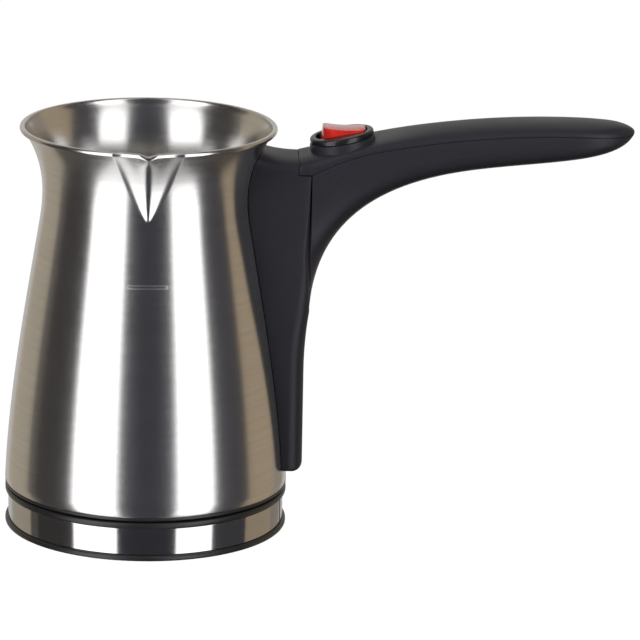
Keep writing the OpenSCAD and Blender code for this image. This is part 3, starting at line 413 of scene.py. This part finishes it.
LIP_RING_R = pot_r(LIP_Z) - SHEET_T + LIP_R - 0.12
# The pouring lip: how far its ridge stands out and how hollow its two faces
# are, as shares of its half width.
KEEL_SLOPE = 0.24
FACE_HOLLOW = 0.052


def spout_push(x, z):
    """How far the pouring lip stands out of the round pot at (x, z)."""
    z = min(z, LIP_Z)
    if z <= SPOUT_TIP_Z:
        return 0.0
    up = (z - SPOUT_TIP_Z) / (LIP_Z - SPOUT_TIP_Z)
    half = SPOUT_HALF_W * up ** 0.74
    if abs(x) >= half:
        return 0.0
    r = pot_r(z)
    edge = math.sqrt(r ** 2 - half ** 2)
    keel = edge + KEEL_SLOPE * half
    blunt = 0.8 + 4.2 * up
    share = (math.hypot(x, blunt) - blunt) / (math.hypot(half, blunt) - blunt)
    face = keel + (edge - keel) * share - FACE_HOLLOW * half * math.sin(math.pi * share)
    return face - math.sqrt(r ** 2 - x ** 2)


def pot_section():
    """Outer wall, rolled lip and inner wall, as a closed loop."""
    heights = [STEEL_Z + 0.5 + 2.9 * i for i in range(35)]
    heights += [heights[-1] + (145.9 - heights[-1]) * i / 38 for i in range(1, 39)]
    outer = [(pot_r(STEEL_Z) - 0.25, STEEL_Z)] + [(pot_r(z), z) for z in heights]
    lip = [(LIP_RING_R + LIP_R * math.cos(math.radians(a)), LIP_Z + LIP_R * math.sin(math.radians(a)))
           for a in range(-48, 190, 14)]
    inner = [(pot_r(z) - SHEET_T, z) for z in reversed(heights)]
    return outer + lip + inner + [(pot_r(STEEL_Z) - SHEET_T, STEEL_Z), outer[0]]


def make_pot():
    piece = turned("steel_pot", pot_section(), ((250, 125), (40, 80), (70, 35)))
    most = max(spout_push(0, SPOUT_TIP_Z + i / 4) for i in range(104))
    spout = piece.vertex_groups.new(name="spout")
    sunk = piece.vertex_groups.new(name="sunk")
    notch = piece.vertex_groups.new(name="notch")
    for v in piece.data.vertices:
        x, y, z = v.co / MM
        if y > 0 or abs(x) > SPOUT_HALF_W:
            continue
        push = spout_push(x, z)
        if push > 0:
            spout.add([v.index], push / most, "REPLACE")
        elif push < 0:
            sunk.add([v.index], -push / most, "REPLACE")
        dip = max(0.0, 1 - abs(x) / 3.2) * max(0.0, min(1.0, (z - 143) / 3))
        if dip > 0:
            notch.add([v.index], dip, "REPLACE")
    tool(piece, "DISPLACE", direction="Y", mid_level=0, strength=-most * MM, vertex_group="spout")
    tool(piece, "DISPLACE", direction="Y", mid_level=0, strength=most * MM, vertex_group="sunk")
    tool(piece, "DISPLACE", direction="Z", mid_level=0, strength=-0.9 * MM, vertex_group="notch")
    piece.vertex_groups.clear()
    smooth(piece, 50)
    return settle(piece, "pot", "brushed_steel", finishes["brushed_steel"], "vessel")


def make_fill_line(pot):
    """The pressed line that marks the fill height: a raised loop round a slot."""
    half, rise = FILL_LINE_W / 2, 0.55
    front = -pot_r(FILL_LINE_Z) - 2
    bpy.ops.object.select_all(action="DESELECT")
    bpy.ops.mesh.primitive_circle_add(vertices=24, radius=rise * MM, fill_type="NOTHING",
                                      rotation=(math.pi / 2, 0, 0),
                                      location=metres(0, front, FILL_LINE_Z))
    piece = added("fill_line")
    open_piece(piece)
    for side in (-1, 1):
        pick(lambda x, y, z: side * x > 0.01)
        move(side * (half - rise), 0, 0)
    bpy.ops.mesh.select_all(action="SELECT")
    for _ in range(3):
        shape = bmesh.from_edit_mesh(piece.data)
        for e in shape.edges:
            e.select = e.calc_length() > 1.0 * MM
        bpy.ops.mesh.subdivide(number_cuts=1)
        bpy.ops.mesh.select_all(action="SELECT")
    close_piece()
    tool(piece, "SHRINKWRAP", target=pot, wrap_method="PROJECT", use_project_y=True,
         use_positive_direction=True, use_negative_direction=False, offset=0)
    only(piece)
    bpy.ops.object.convert(target="CURVE")
    piece.data.bevel_depth = 0.17 * MM
    piece.data.bevel_resolution = 3
    bpy.ops.object.convert(target="MESH")
    piece = bpy.context.object
    smooth(piece, 60)
    return settle(piece, "pot", "brushed_steel", finishes["brushed_steel"])


# ---- the power base ----

def make_band():
    """Polished band with its butt joint, and a thin turned-in edge at each side."""
    turn, t = 0.35, 0.6
    section = [
        (BAND_R - t, BAND_LOW_Z), (BAND_R - turn, BAND_LOW_Z), (BAND_R - 0.1, BAND_LOW_Z + 0.12),
        (BAND_R, BAND_LOW_Z + turn), (BAND_R, BAND_HIGH_Z - turn),
        (BAND_R - 0.1, BAND_HIGH_Z - 0.12), (BAND_R - turn, BAND_HIGH_Z),
        (BAND_R - t, BAND_HIGH_Z), (BAND_R - t, BAND_LOW_Z),
    ]
    piece = turned("base_band_polished", section, ((360, 240),))
    slit = block("slit", (BAND_R - 1.1, BAND_R + 0.5), BAND_GAP, (0.5, 14.5))
    open_piece(slit)
    bpy.ops.mesh.select_all(action="SELECT")
    bpy.ops.transform.rotate(value=math.radians(BAND_GAP_TURN), orient_axis="Z",
                             center_override=(0, 0, 0))
    close_piece()
    cut(piece, slit)
    smooth(piece, 25)
    tool(piece, "WEIGHTED_NORMAL", weight=100, keep_sharp=True)
    return settle(piece, "base", "polished_band", finishes["polished_band"], "base_band")


# ---- the handle ----

TIP_ROUND = 9.0
DROP_X = 82.0


def handle_top(x):
    """Height of the handle's long top curve; the seam runs below it."""
    return CREST_Z - (CREST_X - x) ** 2 / (2 * CROWN_R)


def end_round(x, length):
    if x < TIP_X - length:
        return 1.0
    return math.sqrt(max(0.0, 1 - ((x - TIP_X + length) / length) ** 2))


def cover_top_z(x):
    return TIP_Z + (handle_top(x) - TIP_Z) * end_round(x, TIP_ROUND)


def seam_z(x):
    drop = COVER_DROP * (max(0.0, DROP_X - x) / (DROP_X - JOINT_X)) ** 2
    return TIP_Z + (handle_top(x) - COVER_DEPTH - drop - TIP_Z) * end_round(x, TIP_ROUND)


def half_w(x):
    narrower = HANDLE_TAPER * max(0.0, x - JOINT_X) / (TIP_X - JOINT_X)
    return HANDLE_HALF_W * end_round(x, 20) * (1 - narrower)


def bezier(p, t):
    return tuple(
        (1 - t) ** 3 * a + 3 * t * (1 - t) ** 2 * b + 3 * t ** 2 * (1 - t) * c + t ** 3 * d
        for a, b, c, d in zip(*p))


# The line under the grip: the fillet from the joint, then on to the tip.
FILLET_Z = 81.7
FILLET = [(JOINT_X, FILLET_Z), (60.3, 107.5), (74.5, 123.8), (104, 130.9)]
UNDERSIDE = [(104, 130.9), (130.4, 137.25), (168.3, 134.2), (TIP_X, TIP_Z)]
under_line = [bezier(FILLET, i / 26) for i in range(26)]
under_line += [bezier(UNDERSIDE, i / 30) for i in range(30)]
under_line += [bezier(UNDERSIDE, t) for t in (0.985, 0.993, 0.998)]


def half_oval(name, x, w, z_edge, z_far, power, count=40):
    """Half of a squared oval hung from z_edge, drawn at station x."""
    bpy.ops.object.select_all(action="DESELECT")
    bpy.ops.mesh.primitive_circle_add(vertices=2 * count, radius=MM, fill_type="NOTHING",
                                      rotation=(0, math.pi / 2, 0), location=metres(x, 0, z_edge))
    piece = added(name)
    open_piece(piece)
    side = 1 if z_far > z_edge else -1
    pick(lambda vx, vy, vz: side * (vz - z_edge) < -0.001)
    bpy.ops.mesh.delete(type="VERT")
    shape = bmesh.from_edit_mesh(piece.data)
    places = sorted((math.atan2(abs(v.co.z / MM - z_edge), v.co.y / MM), tuple(v.co / MM))
                    for v in shape.verts)
    for turn, place in places:
        c, s = math.cos(turn), math.sin(turn)
        y = math.copysign(abs(c) ** (2 / power), c) * w
        z = z_edge + (z_far - z_edge) * max(0.0, s) ** (2 / power)
        pick(lambda vx, vy, vz: math.hypot(vy - place[1], vz - place[2]) < 0.001)
        move(0, y - place[1], z - place[2])
    bpy.ops.mesh.select_all(action="SELECT")
    return piece


def along(stations, edge_z, far_z):
    """Carries the selected half oval through the stations and closes it at the tip."""
    for last, x in zip(stations, stations[1:]):
        pull(x - last, 0, edge_z(x) - edge_z(last))
        stretch(1, half_w(x) / half_w(last),
                (far_z(x) - edge_z(x)) / (far_z(last) - edge_z(last)), (x, 0, edge_z(x)))
    bpy.ops.mesh.merge(type="CENTER")
    close_piece()


def make_grip():
    lowest = dict(under_line)
    stations = [x for x, _ in under_line]
    edge = lambda x: seam_z(x) - SEAM_GAP / 2
    far = lambda x: min(lowest[x], edge(x) - 0.15)
    piece = half_oval("handle_grip_shell", stations[0], half_w(stations[0]),
                      edge(stations[0]), far(stations[0]), GRIP_SQUARE)
    along(stations, edge, far)
    merged(piece)
    thicken(piece)
    return settle(piece, "pot", "handle_black", finishes["handle_black"], "handle_grip")


def make_tongue():
    """A thin wall inside the grip's edge, which the top cover slips over."""
    side = [(x, half_w(x) - 1.1, seam_z(x) - 0.9) for x, _ in under_line if x < TIP_X - 1.2]
    piece = outline("grip_tongue", side + [(x, -y, z) for x, y, z in reversed(side)])
    open_piece(piece)
    bpy.ops.mesh.select_all(action="SELECT")
    pull(0, 0, 1.7)
    close_piece()
    tool(piece, "SOLIDIFY", thickness=0.6 * MM, offset=0)
    merged(piece)
    soft_edges(piece, 0.12, 50, 2)
    smooth(piece, 38)
    return settle(piece, "pot", "handle_black", finishes["handle_black"])


def thicken(piece):
    """Gives an open shell its wall, inwards, and breaks its edges."""
    tool(piece, "SOLIDIFY", thickness=SHELL_T * MM, offset=-1, thickness_clamp=0.9)
    soft_edges(piece, 0.3, 50, 2)
    smooth(piece, 38)


def near_share(x):
    """1 at the post and under the switch, falling to 0 along the grip."""
    t = max(0.0, min(1.0, (104 - x) / 26))
    return t * t * (3 - 2 * t)


def square_up(piece, edge, far):
    """Gives the cover the flatter top and straighter flanks it has near the post."""
    moves = {}
    for v in piece.data.vertices:
        x, y, z = v.co / MM
        share = near_share(x)
        depth = far(x) - edge(x)
        if share <= 0 or z < edge(x) + 0.01:
            continue
        power = COVER_SQUARE + (NEAR_SQUARE - COVER_SQUARE) * share
        across = min(1.0, abs(y) / half_w(x))
        moves[v.index] = (edge(x) + (depth - NEAR_DROP * share)
                          * (1 - across ** power) ** (1 / power) - z)
    for side in (1, -1):
        most = max(0.001, max(side * dz for dz in moves.values()))
        group = piece.vertex_groups.new(name="raise" if side > 0 else "lower")
        for index, dz in moves.items():
            if side * dz > 0:
                group.add([index], side * dz / most, "REPLACE")
        tool(piece, "DISPLACE", direction="Z", mid_level=0, strength=side * most * MM,
             vertex_group=group.name)
    piece.vertex_groups.clear()


def make_top_cover():
    stations = [COVER_X, 55.5, 57] + [x for x, _ in under_line]
    edge = lambda x: seam_z(max(x, JOINT_X)) + SEAM_GAP / 2
    far = lambda x: max(cover_top_z(x), edge(x) + 0.15)
    piece = half_oval("handle_top_shell", stations[0], half_w(stations[0]),
                      edge(stations[0]), far(stations[0]), COVER_SQUARE)
    along(stations, edge, far)
    merged(piece)
    square_up(piece, edge, far)
    thicken(piece)
    return settle(piece, "pot", "handle_black", finishes["handle_black"], "handle_top_cover")


STEP_Z = seam_z(JOINT_X)
POST_END_X = COVER_X - SEAM_GAP


def leg_back(z):
    """The back of the leg: upright, then bending out to the grip's joint."""
    low = FILLET_Z - LEG_BEND_H
    share = max(0.0, min(1.0, (z - low) / LEG_BEND_H))
    return LEG_X + (JOINT_X - SEAM_GAP - LEG_X) * share ** 2


POST_TOP_Z = handle_top(POST_END_X) - NEAR_DROP


def climb(x):
    """How far the post's crest climbs above the cover's line, towards the pot."""
    return 0.0125 * (POST_END_X - x) ** 2


def make_post_top():
    """The upper end of the post: the cover's arch carried on towards the pot."""
    stations = [POST_END_X - 1.3 * i for i in range(17)]
    base = STEP_Z - 0.4
    piece = half_oval("post_top", stations[0], HANDLE_HALF_W - 0.02, base, POST_TOP_Z,
                      NEAR_SQUARE)
    bpy.ops.mesh.edge_face_add()
    for last, x in zip(stations, stations[1:]):
        pull(x - last, 0, 0)
        stretch(1, 1, (POST_TOP_Z + climb(x) - base) / (POST_TOP_Z + climb(last) - base),
                (x, 0, base))
    close_piece()
    merged(piece)
    return piece


def make_plug():
    """A stub of the post that the cover's end slips over."""
    piece = half_oval("post_plug", POST_END_X - 2, HANDLE_HALF_W - 2.1, STEP_Z - 1,
                      POST_TOP_Z - 2.1, NEAR_SQUARE)
    bpy.ops.mesh.edge_face_add()
    pull(4, 0, 0)
    close_piece()
    merged(piece)
    return piece


def make_post():
    inside = 30.0
    bend = FILLET_Z - LEG_BEND_H
    back = [(leg_back(z), z) for z in [LEG_LOW_Z + (bend - LEG_LOW_Z) / 2 * i for i in range(3)]
            + [bend + 2.2 * i for i in range(11)] + [104]]
    side = [(inside, LEG_LOW_Z)] + back + [(JOINT_X - SEAM_GAP, STEP_Z - SEAM_GAP),
                                           (POST_END_X, STEP_Z - SEAM_GAP)]
    side += [(POST_END_X, STEP_Z), (inside, STEP_Z)]
    piece = plate("handle_post_shell", side, -HANDLE_HALF_W, HANDLE_HALF_W)
    # rounding: full along the leg's back, fading past the fillet, light on top
    weights = piece.data.attributes.new("bevel_weight_edge", "FLOAT", "EDGE")
    for e in piece.data.edges:
        a, b = (piece.data.vertices[i].co / MM for i in e.vertices)
        if abs(a.y - b.y) > 1:
            sharp_foot = a.z < LEG_LOW_Z + 0.1 and a.x > 50
            weights.data[e.index].value = 0.55 if sharp_foot else 0
            continue
        mid = (a + b) / 2
        if mid.x < inside + 0.5:
            continue
        if mid.z > STEP_Z - 0.15:
            weights.data[e.index].value = 0
        elif mid.z < LEG_LOW_Z + 0.1:
            weights.data[e.index].value = 0.35
        elif mid.x > LEG_X - 0.5:
            fade = max(0.06, min(1.0, 1 - (mid.z - FILLET_Z) / 24))
            weights.data[e.index].value = fade
        else:
            weights.data[e.index].value = 0.05
    tool(piece, "BEVEL", width=LEG_CORNER_R * MM, segments=6, limit_method="WEIGHT",
         use_clamp_overlap=False)
    cut(piece, make_post_top(), "UNION")
    cut(piece, make_plug(), "UNION")
    # the pot's own line, a little wider, is cut out of the post
    gap = 0.15
    heights = [10 + 3 * i for i in range(38)] + [NECK_Z + 0.9 * i for i in range(26)]
    hug = turned("hug", [(0, 10)] + [(pot_r(z) + gap, z) for z in heights]
                 + [(46.2, 147.2), (46.2, 160), (0, 160)], ((360, 180),))
    cut(piece, hug)
    for xs, zs in (((20, LEG_X - POST_WALL), (LEG_LOW_Z + POST_WALL, 130.5)),
                   ((LEG_X - 3.2, JOINT_X - 2.5), (86, 128))):
        cut(piece, block("hollow", xs, 2 * (HANDLE_HALF_W - POST_WALL), zs))
    smooth(piece, 35)
    return settle(piece, "pot", "handle_black", finishes["handle_black"], "handle_post")


# ---- the switch ----

SWITCH_TILT = math.atan((CREST_X - SWITCH_X) / CROWN_R)
SWITCH_LEAN = math.radians(3)
SWITCH_Z = handle_top(SWITCH_X) + SEAT_RISE


def make_collar():
    """The cover's raised seat under the switch's bezel."""
    section = [(10.2, -3.2), (11.9, -5.4), (11.8, -0.9), (11.65, -0.35), (11.3, -0.12),
               (10.2, -0.1), (10.2, -3.2)]
    piece = turned("switch_seat", section, ((360, 96),))
    piece.data.transform(Matrix.Translation(metres(SWITCH_X, 0, SWITCH_Z))
                         @ Matrix.Rotation(SWITCH_LEAN - SWITCH_TILT, 4, "Y"))
    smooth(piece, 40)
    return settle(piece, "pot", "handle_black", finishes["handle_black"])


def lean(above):
    """Leans what stands above the switch's own level a little back, about its pivot."""
    c, n = math.cos(SWITCH_TILT), math.sin(SWITCH_TILT)
    pick(lambda x, y, z: (z - SWITCH_Z) * c - (x - SWITCH_X) * n > above)
    bpy.ops.transform.rotate(value=-SWITCH_LEAN, orient_axis="Y",
                             center_override=metres(SWITCH_X + 2 * n, 0, SWITCH_Z - 2 * c))


def refined(node, name, width, body, slot, above, degrees=35, flat=1.0):
    """A copy of a CAD solid, merged, leant with the seat, with its edges broken."""
    piece = cad_nodes[node].copy()
    piece.data = cad_nodes[node].data.copy()
    piece.name = piece.data.name = name
    piece.parent = None
    for key in list(piece.keys()):
        del piece[key]
    bpy.context.scene.collection.objects.link(piece)
    open_piece(piece)
    bpy.ops.mesh.select_all(action="SELECT")
    bpy.ops.mesh.remove_doubles(threshold=0.001 * MM)
    bpy.ops.mesh.dissolve_limited(angle_limit=math.radians(flat))
    lean(above)
    close_piece()
    soft_edges(piece, width, degrees, 3)
    smooth(piece, 35)
    return settle(piece, body, slot, finishes[slot], node)


# ---- the solids that show as they are ----

def dress(node, slot):
    """Gives a solid its finish. The pot's floor isn't brushed round like its wall."""
    piece = cad_nodes[node]
    piece.data.materials.clear()
    piece.data.materials.append(finishes["floor_steel" if slot == "brushed_steel" else slot])
    for face in piece.data.polygons:
        face.use_smooth = True
    weld = piece.modifiers.new("weld", "WELD")
    weld.merge_threshold = 0.001 * MM
    split = piece.modifiers.new("edges", "EDGE_SPLIT")
    split.split_angle = math.radians(28)


# ---- studio ----

def make_camera():
    """The photograph's view, fitted to the pot's rim, foot, handle and tilt."""
    pan, pitch, roll = (math.radians(a) for a in (2.24, 15.232, 1.107))
    ahead = Vector((math.sin(pan) * math.cos(pitch), math.cos(pan) * math.cos(pitch),
                    -math.sin(pitch)))
    right = Vector((math.cos(pan), -math.sin(pan), 0))
    up = right.cross(ahead)
    c, s = math.cos(roll), math.sin(roll)
    x_axis, y_axis = c * right + s * up, -s * right + c * up
    data = bpy.data.cameras.new("camera")
    data.lens, data.sensor_width = 257.66, 36.0
    data.clip_start, data.clip_end = 0.05, 60
    camera = bpy.data.objects.new("camera", data)
    bpy.context.scene.collection.objects.link(camera)
    turn = Matrix((x_axis, y_axis, -ahead)).transposed().to_4x4()
    camera.matrix_world = Matrix.Translation(metres(0, -1595.28, 510.85)) @ turn
    bpy.context.scene.camera = camera


def seen_white(finish, shader, share):
    """Mixes plain white into what the camera, gloss and glass see of a surface."""
    nodes, links = finish.node_tree.nodes, finish.node_tree.links
    rays = add_node(finish, "ShaderNodeLightPath")
    either = add_node(finish, "ShaderNodeMath", operation="MAXIMUM")
    any_ray = add_node(finish, "ShaderNodeMath", operation="MAXIMUM")
    part = add_node(finish, "ShaderNodeMath", operation="MULTIPLY")
    white = add_node(finish, "ShaderNodeEmission")
    mix = add_node(finish, "ShaderNodeMixShader")
    links.new(rays.outputs["Is Camera Ray"], either.inputs[0])
    links.new(rays.outputs["Is Glossy Ray"], either.inputs[1])
    white.inputs["Strength"].default_value = 1.04
    links.new(either.outputs[0], any_ray.inputs[0])
    links.new(rays.outputs["Is Transmission Ray"], any_ray.inputs[1])
    links.new(any_ray.outputs[0], part.inputs[0])
    part.inputs[1].default_value = share
    links.new(part.outputs[0], mix.inputs["Fac"])
    links.new(shader.outputs[0], mix.inputs[1])
    links.new(white.outputs[0], mix.inputs[2])
    links.new(mix.outputs[0], nodes["Material Output"].inputs["Surface"])


def make_floor():
    bpy.ops.object.select_all(action="DESELECT")
    bpy.ops.mesh.primitive_plane_add(size=30)
    floor = added("studio_floor")
    finish, shader = blank_finish("white_floor", (0.16, 0.16, 0.16), 0.9)
    shader.inputs["Specular IOR Level"].default_value = 0
    seen_white(finish, shader, 0.97)
    floor.data.materials.append(finish)
    floor.visible_glossy = False


# Backdrops round the object as azimuths from the front, counter-clockwise from
# above: two white cards, dark cloth between and beside them, and the warm room
# behind. Each has its tone level with the object, then below and above it.
BACKDROPS = [
    ("dark_cloth_front", -23, 25, (0.044, 0.045, 0.055), 0.9, 1.1),
    ("white_card_right", 25, 56.5, (2.3, 2.3, 2.3), 0.22, 0.5),
    ("dark_cloth_right", 56.5, 91, (0.064, 0.062, 0.07), 0.4, 1.1),
    ("warm_wall_right", 91, 128, (0.42, 0.34, 0.24), 0.25, 0.25),
    ("brown_wall_right", 128, 150, (0.32, 0.28, 0.24), 0.15, 0.3),
    ("grey_wall_right", 150, 171, (0.58, 0.56, 0.53), 0.1, 1.4),
    ("grey_wall_behind", 171, 189, (0.58, 0.56, 0.53), 0.1, 0.1),
    ("grey_wall_left", 189, 212, (0.58, 0.56, 0.53), 0.1, 1.4),
    ("warm_wall_left", 212, 250, (0.45, 0.4, 0.32), 0.25, 0.25),
    ("dark_door_left", 250, 260, (0.12, 0.11, 0.1), 1.0, 0.6),
    ("dark_cloth_left", 260, 299, (0.055, 0.05, 0.05), 1.0, 1.1),
    ("white_card_left", 299, 337, (2.4, 2.4, 2.4), 0.5, 0.5),
]
BACKDROP_TIERS = [
    ("low", [(1, -1200), (1200, -900)]),
    ("level", [(1200, -900), (1200, 1300)]),
    ("high", [(1200, 1300), (700, 1600), (1, 1700)]),
]


def make_backdrop(name, first, last, section, tone):
    """A sector round the object that only its gloss sees."""
    turn = math.radians(first)
    piece = outline(name, [(r * math.sin(turn), -r * math.cos(turn), z) for r, z in section])
    open_piece(piece)
    bpy.ops.mesh.select_all(action="SELECT")
    bpy.ops.mesh.spin(steps=24, angle=-math.radians(last - first), center=(0, 0, 0),
                      axis=(0, 0, 1))
    close_piece()
    finish = bpy.data.materials.new(name)
    finish.use_nodes = True
    finish.node_tree.nodes.clear()
    glow = add_node(finish, "ShaderNodeEmission")
    glow.inputs["Color"].default_value = (*(c / max(tone) for c in tone), 1)
    glow.inputs["Strength"].default_value = max(tone)
    out = add_node(finish, "ShaderNodeOutputMaterial")
    finish.node_tree.links.new(glow.outputs[0], out.inputs["Surface"])
    finish.cycles.emission_sampling = "NONE"
    piece.data.materials.append(finish)
    piece.visible_camera = piece.visible_diffuse = piece.visible_shadow = False
    piece.visible_transmission = piece.visible_volume_scatter = False


def make_backdrops():
    for name, first, last, tone, below, above in BACKDROPS:
        for (tier, section), share in zip(BACKDROP_TIERS, (below, 1.0, above)):
            make_backdrop(name + "_" + tier, first, last, section, [c * share for c in tone])


def make_lamp(name, azimuth, height, distance, size, watts):
    data = bpy.data.lights.new(name, "AREA")
    data.shape, data.size, data.energy = "SQUARE", size, watts
    lamp = bpy.data.objects.new(name, data)
    bpy.context.scene.collection.objects.link(lamp)
    turn = math.radians(azimuth)
    lamp.location = (distance * math.sin(turn), -distance * math.cos(turn), height)
    aim = Vector((0.04, 0, 0.08)) - lamp.location
    lamp.rotation_euler = aim.to_track_quat("-Z", "Y").to_euler()
    lamp.visible_glossy = False
    lamp.visible_camera = False


def make_world():
    world = bpy.data.worlds.new("studio_room")
    bpy.context.scene.world = world
    world.use_nodes = True
    nodes, links = world.node_tree.nodes, world.node_tree.links
    soft = nodes["Background"]
    soft.inputs["Color"].default_value = (1, 1, 1, 1)
    soft.inputs["Strength"].default_value = 0.14
    rays = nodes.new("ShaderNodeLightPath")
    white = nodes.new("ShaderNodeBackground")
    either, any_ray = nodes.new("ShaderNodeMath"), nodes.new("ShaderNodeMath")
    either.operation = any_ray.operation = "MAXIMUM"
    mix = nodes.new("ShaderNodeMixShader")
    links.new(rays.outputs["Is Camera Ray"], either.inputs[0])
    links.new(rays.outputs["Is Glossy Ray"], either.inputs[1])
    links.new(either.outputs[0], any_ray.inputs[0])
    links.new(rays.outputs["Is Transmission Ray"], any_ray.inputs[1])
    links.new(any_ray.outputs[0], mix.inputs["Fac"])
    links.new(soft.outputs[0], mix.inputs[1])
    links.new(white.outputs[0], mix.inputs[2])
    links.new(mix.outputs[0], nodes["World Output"].inputs["Surface"])


# ---- assembly ----

make_camera()
pot = make_pot()
make_fill_line(pot)
make_band()
make_grip()
make_tongue()
make_top_cover()
make_post()
make_collar()
refined("switch_housing", "switch_bezel", 0.25, "pot", "switch_black", -0.01)
refined("rocker", "rocker_cap", 0.45, "rocker", "rocker_red", -9)

shown = {n for n, o in cad_nodes.items() if not o.hide_render}
for part in frame["record"]["subparts"]:
    if part["node"] in shown:
        dress(part["node"], part["material_slot"])

make_floor()
make_backdrops()
make_world()
make_lamp("soft_lamp_left", -44, 0.7, 1.5, 0.9, 34)
make_lamp("soft_lamp_right", 42, 0.7, 1.5, 0.9, 26)
make_lamp("soft_lamp_above", 0, 1.7, 0.05, 1.1, 4)
make_lamp("soft_lamp_behind", 180, 0.9, 1.5, 0.9, 8)
bpy.context.scene.view_settings.view_transform = "Standard"
